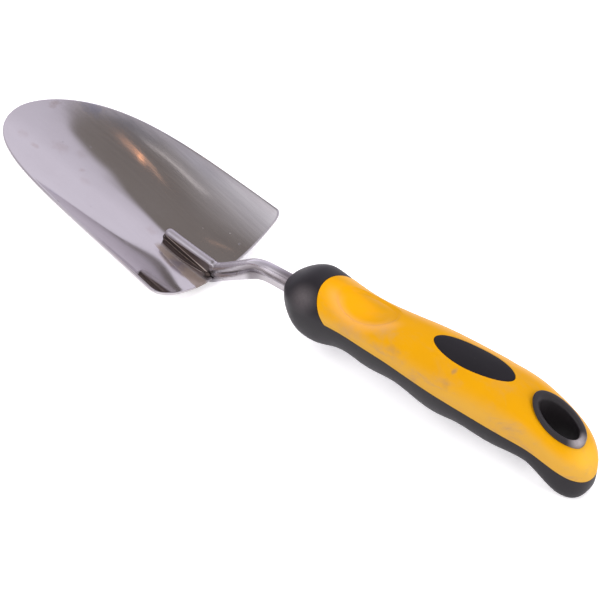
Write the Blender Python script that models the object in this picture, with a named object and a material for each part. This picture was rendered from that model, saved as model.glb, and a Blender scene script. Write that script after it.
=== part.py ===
"""Garden hand trowel: pressed scoop blade, cranked double-lobed neck, two-colour moulded handle.

Metres, +Z up. The trowel lies as it would on a table: it rests on the ground end of the neck's lower
lobe and on the flat under the butt. +X points to the butt, the blade's nose is at -X, and the shape
is symmetric about Y = 0. All tables below are in millimetres in a working frame whose origin is the
middle of the blade's rear edge; place() turns and moves it into the final frame.
"""

import math

import bmesh
import bpy
import numpy as np

for old in list(bpy.data.objects):
    bpy.data.objects.remove(old, do_unlink=True)

# ------------------------------------------------------------------ driving dimensions (mm, degrees)
GAP = 0.3                     # clearance between neighbouring pieces

BLADE_WIDTH = 80.5
BLADE_LENGTH = 133.0          # along the keel
BLADE_SHEET = 1.3
BLADE_DEPTH = 16.5            # keel below the rear corners
BLADE_SECTION = 2.43          # power of the trough section
BLADE_FLATTEN = 0.40          # share of the depth lost at the nose
BLADE_TAPER = 0.146           # share of the width lost at the nose
BLADE_NOSE = 4.62             # bluntness of the nose outline
BLADE_TILT = 19.24            # keel above the horizontal
BLADE_BOW = -0.00079          # keel curvature, 1/mm
REAR_BOW = 2.0                # how far the rear corners sit forward of the middle
SECTION_REAR = 2.36           # power of the section at the rear edge
SEAT_DEPTH = 3.0              # seat pressed into the sheet under the rib
SEAT_START, SEAT_FULL, SEAT_END = 1.0, 28.0, 75.0
SEAT_WIDTH = 16.3
CORNER_R = 3.4                # rear corners
NOTCH_WIDTH = 4.8             # slot in the rear edge for the neck's lower lobe
NOTCH_DEPTH = 4.4

TONGUE_TIP = -31.2            # X of the tongue's rounded front end
NECK_RISE = 29.7              # slope of the neck behind the blade, degrees
NECK_END = 104.0              # X of the buried end of the tang

# handle stations: X, top, bottom, half width
HANDLE = (
    (44.0, 29.6, 7.6, 12.8),
    (52.0, 31.7, 6.2, 14.0),
    (60.0, 32.5, 2.9, 14.6),
    (68.0, 30.8, 2.5, 14.2),
    (76.0, 29.5, 5.1, 13.5),
    (84.0, 29.0, 5.9, 13.1),
    (92.0, 29.1, 4.5, 13.3),
    (100.0, 29.9, 4.7, 13.6),
    (108.0, 30.8, 5.6, 14.0),
    (116.0, 31.4, 4.7, 14.7),
    (124.0, 31.6, 2.8, 15.3),
    (132.0, 31.6, 2.6, 15.6),
    (140.0, 31.7, 4.0, 15.6),
    (148.0, 31.7, 3.5, 15.4),
    (156.0, 30.8, 2.7, 14.9),
    (164.0, 29.2, 3.2, 14.0),
    (172.0, 26.3, 2.5, 12.9),
    (180.0, 22.9, -1.4, 12.3),
    (187.0, 20.8, -6.0, 12.2),
)
# height of the widest line, where the two colours meet
WAIST = (
    (44.0, 23.5), (60.0, 21.8), (76.0, 21.2), (90.0, 20.4), (105.0, 19.8), (120.0, 19.3), (135.0, 18.5),
    (150.0, 17.5), (165.0, 15.6), (175.0, 13.8), (182.0, 11.4), (188.0, 8.5), (194.7, 5.2),
)
HANDLE_END = 194.7
BULB_X, BULB_LENGTH = 60.0, 14.4
SKIN = 3.0                    # wall of the two outer mouldings
FRONT_OUTER, FRONT_INNER = 47.7, 51.8  # the grip's front wall round the neck
SHELL_FRONT, SHELL_SIDE = 65.0, 75.2   # X of the upper shell's front edge, on top and at the waist

THUMB_X, THUMB_A, THUMB_B, THUMB_DEPTH = 86.5, 15.4, 9.4, 1.5
OVAL_X, OVAL_A, OVAL_B, OVAL_THICK = 138.3, 18.4, 6.8, 2.0
RING_X, RING_Z, RING_SLOPE, RING_ROUND = 177.7, 24.9, -0.50, 0.010
RING_A, RING_B = 11.35, 8.2   # collar outside
HOLE_A, HOLE_B = 8.5, 5.3     # hang hole
SLEEVE = 1.4                  # wall of the eyelet's sleeve

# the table plane in the working frame, and the turn that makes it level
TABLE_A, TABLE_B = (-3.0, -2.5), (186.0, -4.0)


def table_z(x):
    (x0, z0), (x1, z1) = TABLE_A, TABLE_B
    return z0 + (z1 - z0) * (x - x0) / (x1 - x0)


TURN = math.atan2(TABLE_A[1] - TABLE_B[1], TABLE_B[0] - TABLE_A[0])


# ------------------------------------------------------------------------------------- small helpers
def spline(table_x, table_y, x):
    """Natural cubic spline."""
    xs, ys = np.asarray(table_x, float), np.asarray(table_y, float)
    n, h = len(xs), np.diff(xs)
    a, b = np.eye(n), np.zeros(n)
    for i in range(1, n - 1):
        a[i, i - 1:i + 2] = h[i - 1], 2 * (h[i - 1] + h[i]), h[i]
        b[i] = 6 * ((ys[i + 1] - ys[i]) / h[i] - (ys[i] - ys[i - 1]) / h[i - 1])
    m = np.linalg.solve(a, b)
    x = np.asarray(x, float)
    k = np.clip(np.searchsorted(xs, x) - 1, 0, n - 2)
    t0, t1, hk = xs[k + 1] - x, x - xs[k], h[k]
    return (
        m[k] * t0 ** 3 / (6 * hk) + m[k + 1] * t1 ** 3 / (6 * hk)
        + (ys[k] / hk - m[k] * hk / 6) * t0 + (ys[k + 1] / hk - m[k + 1] * hk / 6) * t1
    )


def rounding(x, start, end, power):
    """1 before start, falling to 0 at end like a superellipse."""
    u = np.clip((np.asarray(x, float) - start) / (end - start), 0, 1)
    return (1 - u ** power) ** (1 / power)


def smooth(a, b, x):
    u = np.clip((np.asarray(x, float) - a) / (b - a), 0, 1)
    return u * u * (3 - 2 * u)


# --------------------------------------------------------------------------------------------- blade
def blade_half_width(s):
    u = np.clip(s / BLADE_LENGTH, 0, 1)
    w = BLADE_WIDTH / 2 * (1 - BLADE_TAPER * u) * np.sqrt(np.clip(1 - u ** BLADE_NOSE, 0, 1))
    d = np.clip(CORNER_R - s, 0, CORNER_R)
    return w - (CORNER_R - np.sqrt(np.clip(CORNER_R ** 2 - d ** 2, 0, None)))


def seat(s):
    """Depth of the seat under the rib; it starts behind the rear edge's slot and fades out in front of the rib."""
    s = np.asarray(s, float)
    rear = 1 - np.clip(1 - (s - SEAT_START) / (SEAT_FULL - SEAT_START), 0, 1) ** 2
    front = 0.5 + 0.5 * np.cos(math.pi * np.clip((s - SEAT_FULL) / (SEAT_END - SEAT_FULL), 0, 1))
    return SEAT_DEPTH * rear * front


def blade_up(s, y):
    """Height of the underside over the blade's own plane, and its slope across the blade."""
    u = np.clip(s / BLADE_LENGTH, 0, 1)
    depth = BLADE_DEPTH * (1 - BLADE_FLATTEN * u)
    power = BLADE_SECTION + (SECTION_REAR - BLADE_SECTION) * np.clip(1 - s / 30, 0, 1) ** 2
    a = np.abs(2 * y / BLADE_WIDTH)
    low = seat(s) * np.exp(-(y / SEAT_WIDTH) ** 2)
    slope = depth * power * a ** (power - 1) * 2 / BLADE_WIDTH * np.sign(y) + low * 2 * y / SEAT_WIDTH ** 2
    return BLADE_BOW * s * s / 2 + depth * a ** power - low, slope


def blade_point(s, y, off=0.0):
    """A point s along the keel from the rear edge, y across, off above the underside."""
    s, y = np.broadcast_arrays(np.asarray(s, float), np.asarray(y, float))
    t = math.radians(BLADE_TILT)
    up, slope = blade_up(s, y)
    n = np.sqrt(1 + slope ** 2)
    up = up + off / n
    return np.stack([
        -s * math.cos(t) + up * math.sin(t), y - off * slope / n, s * math.sin(t) + up * math.cos(t)
    ], -1)


def sheet_z(x, y, off):
    """Height of the sheet's face at x and y: off 0 is the underside, BLADE_SHEET the inner face."""
    s = np.linspace(-3, 62, 500)
    p = blade_point(s, np.full(500, float(y)), off)
    return float(np.interp(x, p[::-1, 0], p[::-1, 2]))


def keel_top(x):
    """Height of the blade's inner face on the centre line."""
    return sheet_z(x, 0.0, BLADE_SHEET)


def build_blade(rows=29, cols=28):
    phi = np.linspace(0, 1, rows + 1)
    s0 = BLADE_LENGTH * np.sin(phi * math.pi / 2) ** (2 / BLADE_NOSE * 1.0 + 0.45)
    corner = np.array([0, 0.25, 0.8, 1.8, 3.1])
    s0 = np.unique(np.concatenate([corner, s0[s0 > 3.8]]))
    s0[-1] = BLADE_LENGTH
    a = np.linspace(-1, 1, cols + 1)
    a = np.sign(a) * np.abs(a) ** 0.92
    s0 = s0[:-1]
    w = blade_half_width(s0)
    y = w[:, None] * a[None, :]
    fade = np.clip(1 - s0 / 40, 0, 1)[:, None] ** 2
    s = s0[:, None] + REAR_BOW * (2 * y / BLADE_WIDTH) ** 2 * fade
    tip = (BLADE_LENGTH, 0.0)
    return s, y, tip


# -------------------------------------------------------------------------------------- neck and tang
NECK_SLOPE = math.radians(NECK_RISE)
SLOPE_UP = (-math.sin(NECK_SLOPE), math.cos(NECK_SLOPE))
LEVEL_Z = 19.2                # height of the level part


def slope_line(x):
    """Height of the sloping part's centre line."""
    return 3.1 + (x - 0.0) * math.tan(NECK_SLOPE)


def lobe_ring(top, up, depth, r, groove, half=15):
    """Two equal lobes joined by a web. top is the ridge point, up a unit vector in X and Z."""
    mid = depth / 2
    close = math.pi - math.asin(min(1.0, groove / r))
    reach = r * (1 - math.cos(close))
    side = []
    for i in range(half + 1):
        k = i / half
        turn = k / 0.5 if k <= 0.5 else (1 - k) / 0.5
        a = turn * close
        u, w = r * (1 - math.cos(a)), r * math.sin(a)
        if u > r:
            u = r + (u - r) * (mid - r) / (reach - r)
        if k > 0.5:
            u = depth - u
        side.append((top[0] - up[0] * u, w, top[1] - up[1] * u))
    side = np.array(side)
    return np.vstack([side, side[1:-1][::-1] * np.array([1, -1, 1])])


def rib_ring(foot, up, height, r, half=15):
    """The bar on the blade: a rounded top, flat sides and a slightly wider foot on the sheet."""
    rt = min(r, height * 0.45)
    side = []
    for i in range(half + 1):
        k = i / half
        if k <= 0.30:
            a = k / 0.30 * math.pi / 2
            u, w = rt * (1 - math.cos(a)), r * math.sin(a)
        elif i < half:
            u = rt + (height - rt) * (k - 0.30) / (1 - 1 / half - 0.30)
            w = r * (1 - 0.10 * float(smooth(height - 1.2, height - 2.2, u)) * float(smooth(rt, rt + 0.8, u)))
        else:
            u, w = height, 0.0
        u = min(u, height)
        side.append((foot[0] + up[0] * (height - u), w, foot[1] + up[1] * (height - u)))
    side = np.array(side)
    return np.vstack([side, side[1:-1][::-1] * np.array([1, -1, 1])])


def tongue_rings():
    """The rib on the blade, front to back; its last rings narrow into the web."""
    t = math.radians(BLADE_TILT)
    rings = []
    for d in (0.04, 0.3, 0.8, 1.5, 2.05, 5.0, 9.0, 13.0, 17.0, 21.0, 25.0, 28.0, 29.8):
        x = TONGUE_TIP + d
        end = math.sqrt(max(0.0, 1 - max(0.0, 1 - d / 2.05) ** 2))
        height = 2.1 + 3.0 * (d / 30.0) ** 1.5 + 2.1 * (d / 30.0) ** 0.9 + float(seat(-x / math.cos(t)))
        height *= 0.55 + 0.45 * end
        r = 2.05 * end
        rings.append(rib_ring((x, keel_top(x) + 0.19), (math.sin(t), math.cos(t)), height - 0.07, r))
    for x, r, a, height in ((0.2, 1.8, 0.10, 6.7), (1.6, 1.5, 0.0, 6.4), (3.0, 1.1, 0.0, 6.2)):
        foot = (x, 1.75 + 0.62 * x)
        rings.append(rib_ring(foot, (math.sin(a), math.cos(a)), height, r))
    return rings


def lobe_end_rings():
    """The rounded front end of the lower lobe, under the blade's rear edge."""
    along = np.array([math.cos(NECK_SLOPE), 0, math.sin(NECK_SLOPE)])
    up = np.array([SLOPE_UP[0], 0, SLOPE_UP[1]])
    centre = np.array([-3.34, 0, -1.46])
    rings = []
    for a in (-0.94, -0.70, -0.42, 0.0):
        r = 2.06 * math.cos(a * math.pi / 2)
        c = centre + along * 2.06 * math.sin(a * math.pi / 2)
        rings.append([c + up * r * math.cos(q) + np.array([0, 1, 0]) * r * math.sin(q) for q in np.linspace(0, 2 * math.pi, 20, endpoint=False)])
    for d, r in ((3.0, 2.04), (5.4, 2.0), (7.6, 1.6)):
        c = centre + along * d
        rings.append([c + up * r * math.cos(q) + np.array([0, 1, 0]) * r * math.sin(q) for q in np.linspace(0, 2 * math.pi, 20, endpoint=False)])
    return [np.array(r) for r in rings]


def bar_rings():
    """The two-lobed bar from inside the rib to the buried end of the tang."""
    pts = [(x, slope_line(x), NECK_SLOPE) for x in (-1.1, 1.0, 4.0, 8.0, 12.0, 16.0)]
    radius = 24.0
    tangent = radius * math.tan(NECK_SLOPE / 2)
    bend_x = (LEVEL_Z - 3.1) / math.tan(NECK_SLOPE)
    for f in np.linspace(0, 1, 8):
        a = NECK_SLOPE * (1 - f)
        pts.append((bend_x + tangent - radius * math.sin(a), LEVEL_Z - radius + radius * math.cos(a), a))
    for x in (40.0, 46.0, 62.0, 79.0, 81.0, 84.0, 86.0, 99.0, 101.5, 103.2, NECK_END):
        pts.append((x, LEVEL_Z, 0.0))
    rings = []
    for x, z, a in pts:
        f = float(smooth(4.0, 36.0, x))
        r, depth, groove = 1.95 + 0.45 * f, 8.4 + 1.4 * f, 1.0 + 0.5 * f
        blunt = 1 - 0.16 * float(smooth(101.0, NECK_END, x)) ** 2
        up = (-math.sin(a), math.cos(a))
        top = (x + up[0] * depth * blunt / 2, z + up[1] * depth * blunt / 2)
        one = lobe_ring(top, up, depth * blunt, r * blunt, groove)
        if 80.0 < x < 85.0:                      # swaged ears that lock the tang
            one[:, 1] *= 1.5
        rings.append(one)
    return rings


# --------------------------------------------------------------------------------------------- handle
HX = [row[0] for row in HANDLE]


def handle_profile(x, inset=0.0):
    """Waist height, top, bottom and half width at x, for the skin or for a surface inset from it."""
    x = np.asarray(x, float)
    end = HANDLE_END - inset
    waist = spline([p[0] for p in WAIST], [p[1] for p in WAIST], np.minimum(x, HANDLE_END))
    front = np.sqrt(np.clip(1 - np.clip((BULB_X - x) / (BULB_LENGTH - inset), 0, 1) ** 2, 0, 1))
    top = spline(HX, [r[1] for r in HANDLE], x) - inset
    bottom = spline(HX, [r[2] for r in HANDLE], x) + inset
    width = spline(HX, [r[3] for r in HANDLE], x) - inset
    top = waist + (top - waist) * front * rounding(x, 172.0, end, 2.2)
    bottom = waist - (waist - bottom) * front * rounding(x, 179.0, end, 2.4)
    width = width * front * rounding(x, 176.0, end, 2.2)
    return waist, top, bottom, width


def top_power(x):
    return 2.25 + 1.35 * np.clip((np.asarray(x, float) - 150) / 25, 0, 1)


def low_power(x):
    return 2.3 + 1.0 * np.clip((np.asarray(x, float) - 172) / 13, 0, 1)


def half_section(x, count, upper, inset=0.0):
    """count + 1 points from +Y to -Y over the top, or from -Y to +Y under the bottom, evenly spaced."""
    waist, top, bottom, width = (float(v) for v in handle_profile(x, inset))
    power = float(top_power(x)) if upper else float(low_power(x))
    th = np.linspace(0, math.pi, 241)
    c, s = np.cos(th), np.sin(th)
    y = width * np.sign(c) * np.abs(c) ** (2 / power)
    h = (top - waist) if upper else (waist - bottom)
    z = h * np.abs(s) ** (2 / power)
    if not upper:
        y = -y
    d = np.concatenate([[0], np.cumsum(np.hypot(np.diff(y), np.diff(z)))])
    if d[-1] < 1e-9:
        return np.tile([x, 0.0, waist], (count + 1, 1))
    k = np.linspace(0, d[-1], count + 1)
    y, z = np.interp(k, d, y), np.interp(k, d, z)
    return np.stack([np.full_like(y, x), y, waist + z if upper else waist - z], -1)


def skin_z(x, y, inset=0.0):
    """Height of the handle's upper surface at plan points."""
    waist, top, _, width = handle_profile(x, inset)
    m = top_power(x)
    u = np.minimum(np.abs(y) / width, 0.9999)
    return waist + (top - waist) * (1 - u ** m) ** (1 / m)


def under_z(x, y):
    waist, _, bottom, width = handle_profile(x)
    m = low_power(x)
    u = np.minimum(np.abs(y) / width, 0.9999)
    return np.maximum(waist - (waist - bottom) * (1 - u ** m) ** (1 / m), table_z(x))


def dish(p):
    """Presses the thumb rest into points of the upper surface."""
    p = p.copy()
    rho = ((p[..., 0] - THUMB_X) / THUMB_A) ** 2 + (p[..., 1] / THUMB_B) ** 2
    p[..., 2] -= THUMB_DEPTH * np.clip(1 - rho, 0, 1) ** 0.6
    return p


def shell_front(phi):
    """X of the upper shell's front edge, phi from -1 to 1 round the top."""
    return SHELL_FRONT + (SHELL_SIDE - SHELL_FRONT) * abs(phi) ** 1.9


TOP_COLS, LOW_COLS = 20, 16


def upper_row(t, inset, end):
    """A row of the upper half from the shell's front edge (t 0) to the end of the butt (t 1)."""
    row = []
    for j in range(TOP_COLS + 1):
        x0 = shell_front(1 - 2 * j / TOP_COLS)
        x = x0 + (end - x0) * t
        row.append(half_section(x, TOP_COLS, True, inset)[j])
    return np.array(row)


def row_params(count, first, last):
    """Row positions that crowd towards the rounded end."""
    span = last - first
    rear = [math.sin(a) for a in np.linspace(0, math.pi / 2, 9)][1:]
    split = 1 - 20.0 / span
    even = list(np.linspace(0, split, count))
    return np.array(even + [split + (1 - split) * r for r in rear])


def closed_mesh(name, verts, faces, colour, rough, metal):
    """Turns millimetre points of the working frame into an object in the final frame."""
    me = bpy.data.meshes.new(name)
    me.from_pydata([place(v) for v in verts], [], faces)
    bm = bmesh.new()
    bm.from_mesh(me)
    bmesh.ops.remove_doubles(bm, verts=bm.verts, dist=2e-6)
    bmesh.ops.dissolve_degenerate(bm, edges=bm.edges, dist=1e-6)
    bmesh.ops.recalc_face_normals(bm, faces=bm.faces)
    if bm.calc_volume(signed=True) < 0:
        bmesh.ops.reverse_faces(bm, faces=bm.faces)
    bm.to_mesh(me)
    bm.free()
    ob = bpy.data.objects.new(name, me)
    bpy.context.scene.collection.objects.link(ob)
    mat = bpy.data.materials.new(name)
    mat.use_nodes = True
    bsdf = mat.node_tree.nodes["Principled BSDF"]
    bsdf.inputs["Base Color"].default_value = (*colour, 1)
    bsdf.inputs["Roughness"].default_value = rough
    bsdf.inputs["Metallic"].default_value = metal
    mat.diffuse_color = (*colour, 1)
    me.materials.append(mat)
    me.shade_smooth()
    me.set_sharp_from_angle(angle=math.radians(38))
    return ob


def helper(ob):
    ob.hide_render = True
    ob.display_type = "WIRE"
    return ob


def cut(ob, tool, kind="DIFFERENCE"):
    mod = ob.modifiers.new(kind.title(), "BOOLEAN")
    mod.operation = kind
    mod.solver = "EXACT"
    mod.object = tool
    return mod


def loft(rings, close_start=True, close_end=True):
    """Quads between equal rings, with a fan at each end."""
    n = len(rings[0])
    verts = [tuple(p) for r in rings for p in r]
    faces = []
    for i in range(len(rings) - 1):
        for j in range(n):
            k = (j + 1) % n
            faces.append((i * n + j, i * n + k, (i + 1) * n + k, (i + 1) * n + j))
    for flag, r, base in ((close_start, rings[0], 0), (close_end, rings[-1], (len(rings) - 1) * n)):
        if flag:
            verts.append(tuple(np.mean(r, axis=0)))
            c = len(verts) - 1
            for j in range(n):
                faces.append((base + j, base + (j + 1) % n, c))
    return verts, faces


def ring_loft(profiles):
    """A closed band: rings joined round, the last back to the first."""
    n = len(profiles[0])
    verts = [tuple(p) for r in profiles for p in r]
    faces = []
    m = len(profiles)
    for i in range(m):
        for j in range(n):
            k, i2 = (j + 1) % n, (i + 1) % m
            faces.append((i * n + j, i * n + k, i2 * n + k, i2 * n + j))
    return verts, faces


# --------------------------------------------------------------------------------- the final frame
def turned(p):
    x, y, z = (float(c) for c in p)
    c, s = math.cos(TURN), math.sin(TURN)
    return x * c - z * s, y, x * s + z * c


NOSE_X = min(turned(p)[0] for p in blade_point(np.full(9, BLADE_LENGTH), np.zeros(9), np.linspace(0, BLADE_SHEET, 9)))
BUTT_X = turned((HANDLE_END, 0, 5.0))[0]
MID_X = (NOSE_X + BUTT_X) / 2
FLOOR = turned((TABLE_A[0], 0, TABLE_A[1]))[2]


def place(p):
    x, y, z = turned(p)
    return (x - MID_X) / 1000, y / 1000, max(z - FLOOR, 0.0) / 1000


STEEL = ((0.56, 0.55, 0.58), 0.22, 1.0)
YELLOW = ((0.90, 0.42, 0.02), 0.55, 0.0)
BLACK = ((0.045, 0.040, 0.048), 0.60, 0.0)


# ------------------------------------------------------------------------------------ blade object
def make_blade():
    s, y, tip = build_blade()
    rows, cols = s.shape
    verts, faces = [], []
    for off in (0.0, BLADE_SHEET):
        p = blade_point(s, y, off)
        verts += [tuple(v) for v in p.reshape(-1, 3)]
        verts.append(tuple(blade_point(tip[0], 0.0, off).reshape(3)))
    step = rows * cols + 1
    for k in (0, 1):
        b = k * step
        for i in range(rows - 1):
            for j in range(cols - 1):
                q = (b + i * cols + j, b + i * cols + j + 1, b + (i + 1) * cols + j + 1, b + (i + 1) * cols + j)
                faces.append(q if k else q[::-1])
        for j in range(cols - 1):
            q = (b + (rows - 1) * cols + j, b + (rows - 1) * cols + j + 1, b + rows * cols)
            faces.append(q if k else q[::-1])
    border = [j for j in range(cols)] + [i * cols + cols - 1 for i in range(1, rows)] + [rows * cols]
    border += [i * cols for i in range(rows - 1, 0, -1)]
    for a, b in zip(border, border[1:] + border[:1]):
        faces.append((a, b, b + step, a + step))
    return closed_mesh("blade", verts, faces, *STEEL)


def make_notch():
    """Cutter for the slot that takes the neck's lower lobe."""
    out = []
    w, d = NOTCH_WIDTH / 2, NOTCH_DEPTH
    plan = [(4.0, -w), (4.0, w)]
    plan += [(-(d - w) - w * math.sin(a), w * math.cos(a)) for a in np.linspace(0, math.pi, 17)]
    rings = [[(x, y, z) for x, y in plan] for z in (-6.0, 12.0)]
    verts, faces = loft(rings)
    return helper(closed_mesh("notch_cutter", verts, faces, *STEEL))


# ------------------------------------------------------------------------------------------ welds
def bead(points, normals, sides, radii, steps=4):
    """A bead with a quarter-round section along points; sides and normals span its two legs."""
    rings = []
    n = len(points)
    for i, (p, nn, ss) in enumerate(zip(points, normals, sides)):
        wave = 1 + 0.05 * math.sin(i * 2.1)
        r = radii[i] * wave
        p, nn, ss = (np.asarray(v, float) for v in (p, nn, ss))
        r_pts = [p]
        for k in range(steps + 1):
            a = math.pi / 2 * k / steps
            sink = 1 - 0.22 * math.sin(2 * a)
            r_pts.append(p + (ss * math.cos(a) + nn * math.sin(a)) * r * sink)
        rings.append(np.array(r_pts))
    return rings


def make_tongue_weld():
    """One fine bead down one side of the rib, round its front and back up the other side."""
    points, normals, sides, radii = [], [], [], []
    t = math.radians(BLADE_TILT)
    up = np.array([math.sin(t), 0, math.cos(t)])
    w = 2.05 + 0.09
    nose = TONGUE_TIP + 2.0
    run = [-1.2, -1.9, -2.8, -4.2] + list(np.linspace(-7.0, nose, 9))
    path = [(x, w, (0.0, 1.0)) for x in run]
    for a in np.linspace(0, math.pi, 11)[1:-1]:
        path.append((nose - 2.14 * math.sin(a), w * math.cos(a), (-math.sin(a), math.cos(a))))
    path += [(x, -w, (0.0, -1.0)) for x in run[::-1]]
    for x, y, d in path:
        points.append((x, y, sheet_z(x, y, BLADE_SHEET) + 0.18))
        normals.append(up)
        sides.append((d[0] * math.cos(t), d[1], -d[0] * math.sin(t)))
        lump = math.exp(-((x + 2.6) / 1.5) ** 2)
        radii.append((0.45 + 0.75 * lump) * (0.5 if x > -1.5 else 1.0))
    return closed_mesh("weld_tongue", *loft(bead(points, normals, sides, radii)), (0.50, 0.45, 0.42), 0.45, 1.0)


def make_underside_weld():
    """The bead that fills the corner between the blade's underside and the lower lobe's front end."""
    cx, cz, r = -3.34, -1.46, 2.06 + 0.14
    rings = []
    for a in np.radians(np.linspace(-78, 78, 17)):
        swell = 0.55 + 0.45 * math.cos(a) + 0.04 * math.sin(9 * a)

        def at(rho, z):
            return (cx - rho * math.cos(a), rho * math.sin(a), z)

        def sheet(rho):
            return sheet_z(cx - rho * math.cos(a), rho * math.sin(a), 0.0) - 0.14

        outer = r + 1.5 * swell
        one = [at(1.2, sheet(1.2)), at((1.2 + outer) / 2, sheet((1.2 + outer) / 2)), at(outer, sheet(outer))]
        low = math.radians(8)
        x0, z0 = outer, sheet(outer)
        x1, z1 = r * math.cos(low), cz + r * math.sin(low)
        for f in (0.25, 0.5, 0.75):
            sag = 0.35 * math.sin(math.pi * f)
            one.append(at(x0 + (x1 - x0) * f - sag, z0 + (z1 - z0) * f + sag * 0.3))
        for q in (low, math.radians(24), math.radians(42), math.radians(57)):
            one.append(at(r * math.cos(q), cz + r * math.sin(q)))
        rings.append(np.array(one))
    return closed_mesh("weld_underside", *loft(rings), (0.40, 0.36, 0.34), 0.55, 1.0)


# ------------------------------------------------------------------------------------- handle parts
def tang_outline(x, grow):
    """Rings of the tang's clearance, 48 points, square to X."""
    f = float(smooth(4.0, 36.0, x))
    r, depth, groove = 1.95 + 0.45 * f + grow, 8.4 + 1.4 * f + 2 * grow, 1.0 + 0.5 * f + grow
    pts = []
    for k in range(TOP_COLS + LOW_COLS):
        if k <= TOP_COLS:
            a = math.pi * k / TOP_COLS
        else:
            a = math.pi + math.pi * (k - TOP_COLS) / LOW_COLS
        d = (math.cos(a), math.sin(a))
        lo, hi = 0.0, 12.0
        for _ in range(40):
            m = (lo + hi) / 2
            y, z = abs(m * d[0]), abs(m * d[1])
            c = depth / 2 - r
            inside = (y <= groove and z <= c) or (y * y + (z - c) ** 2 <= r * r) or (z < c * 0.55 and y <= groove + 0.2)
            lo, hi = (m, hi) if inside else (lo, m)
        pts.append((x, lo * d[0], 19.2 + lo * d[1]))
    return np.array(pts)


def full_ring(x, inset):
    top = half_section(x, TOP_COLS, True, inset)
    low = half_section(x, LOW_COLS, False, inset)
    return np.vstack([top, low[1:-1]])


def bulb_rows(inset, first):
    """Rings of the bulb from its front face to the cut line of the two colours."""
    length = BULB_LENGTH - inset
    a0 = math.asin((BULB_X - first) / length)
    xs = [BULB_X - length * math.sin(a) for a in np.linspace(a0, 0, 9)]
    return xs


def make_grip():
    """Lower moulding: the bulb all round and the underside to the butt."""
    n = TOP_COLS + LOW_COLS
    verts, faces = [], []

    def add(points):
        base = len(verts)
        verts.extend(tuple(p) for p in points)
        return list(range(base, base + len(points)))

    sets = []
    for inset, first, end in ((0.0, FRONT_OUTER, HANDLE_END), (SKIN, FRONT_INNER, HANDLE_END - SKIN)):
        rows = [add(tang_outline(first, 0.42))]
        xs = bulb_rows(inset, first + 0.02)
        for x in xs:
            ring = full_ring(x, inset)
            rows.append(add(ring))
        # from the bulb's widest point to the cut line, columns of the top stop early
        for f in (0.33, 0.67, 1.0):
            pts = []
            for j in range(TOP_COLS + 1):
                edge = shell_front(1 - 2 * j / TOP_COLS) - (GAP if inset == 0 else GAP)
                x = BULB_X + (edge - BULB_X) * f
                pts.append(half_section(x, TOP_COLS, True, inset)[j])
            x = BULB_X + (SHELL_SIDE - GAP - BULB_X) * f
            low = half_section(x, LOW_COLS, False, inset)
            pts += list(low[1:-1])
            rows.append(add(pts))
        # underside
        low_rows = []
        first_low = SHELL_SIDE - GAP
        for t in row_params(20, first_low, end)[1:]:
            x = first_low + (end - first_low) * t
            low = half_section(min(x, end), LOW_COLS, False, inset)
            low[:, 2] = np.maximum(low[:, 2], table_z(low[:, 0]) + inset)
            if t < 1 - 1e-9:
                low_rows.append(add(low))
            else:
                low_rows.append(add(low[:1]))
        sets.append((rows, low_rows))

    def quad(*q):
        faces.append(tuple(q))

    for (rows, low_rows), flip in zip(sets, (False, True)):
        for a, b in zip(rows, rows[1:]):
            for j in range(n):
                k = (j + 1) % n
                q = (a[j], a[k], b[k], b[j])
                quad(*(q[::-1] if flip else q))
        last = rows[-1]
        low0 = [last[TOP_COLS + i] if TOP_COLS + i < n else last[0] for i in range(LOW_COLS + 1)]
        chain = [low0] + low_rows
        for a, b in zip(chain, chain[1:]):
            for j in range(LOW_COLS):
                if len(b) == 1:
                    q = (a[j], a[j + 1], b[0])
                else:
                    q = (a[j], a[j + 1], b[j + 1], b[j])
                quad(*(q[::-1] if flip else q))
    (ro, lo_), (ri, li) = sets
    for j in range(n):                                     # hole for the neck
        k = (j + 1) % n
        quad(ri[0][j], ri[0][k], ro[0][k], ro[0][j])
    for j in range(TOP_COLS):                              # front edge of the colour cut
        quad(ro[-1][j], ro[-1][j + 1], ri[-1][j + 1], ri[-1][j])
    left_o = [ro[-1][TOP_COLS]] + [r[0] for r in lo_]
    left_i = [ri[-1][TOP_COLS]] + [r[0] for r in li]
    right_o = [ro[-1][0]] + [r[-1] for r in lo_]
    right_i = [ri[-1][0]] + [r[-1] for r in li]
    for o, i in ((left_o, left_i), (right_o, right_i)):
        for a in range(len(o) - 1):
            quad(o[a], o[a + 1], i[a + 1], i[a])
    return closed_mesh("grip_lower", verts, faces, *BLACK)


def make_shell():
    """Upper moulding, from the cut line to the butt."""
    verts, faces = [], []

    def add(points):
        base = len(verts)
        verts.extend(tuple(p) for p in points)
        return list(range(base, base + len(points)))

    sets = []
    for inset, end in ((0.0, HANDLE_END), (SKIN, HANDLE_END - SKIN)):
        rows = []
        for t in row_params(26, 70.0, end):
            row = upper_row(min(t, 1.0), inset, end)
            if inset == 0:
                row = dish(row)
            row[:, 2] += GAP * 0.5
            rows.append(add(row) if t < 1 - 1e-9 else add(row[:1]))
        sets.append(rows)
    for rows, flip in zip(sets, (False, True)):
        for a, b in zip(rows, rows[1:]):
            for j in range(TOP_COLS):
                q = (a[j], a[j + 1], b[0]) if len(b) == 1 else (a[j], a[j + 1], b[j + 1], b[j])
                faces.append(q[::-1] if flip else q)
    o, i = sets
    for j in range(TOP_COLS):
        faces.append((o[0][j + 1], o[0][j], i[0][j], i[0][j + 1]))
    for col in (0, -1):
        for a in range(len(o) - 1):
            faces.append((o[a][col], o[a + 1][col], i[a + 1][col], i[a][col]))
    return closed_mesh("shell_upper", verts, faces, *YELLOW)


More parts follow.
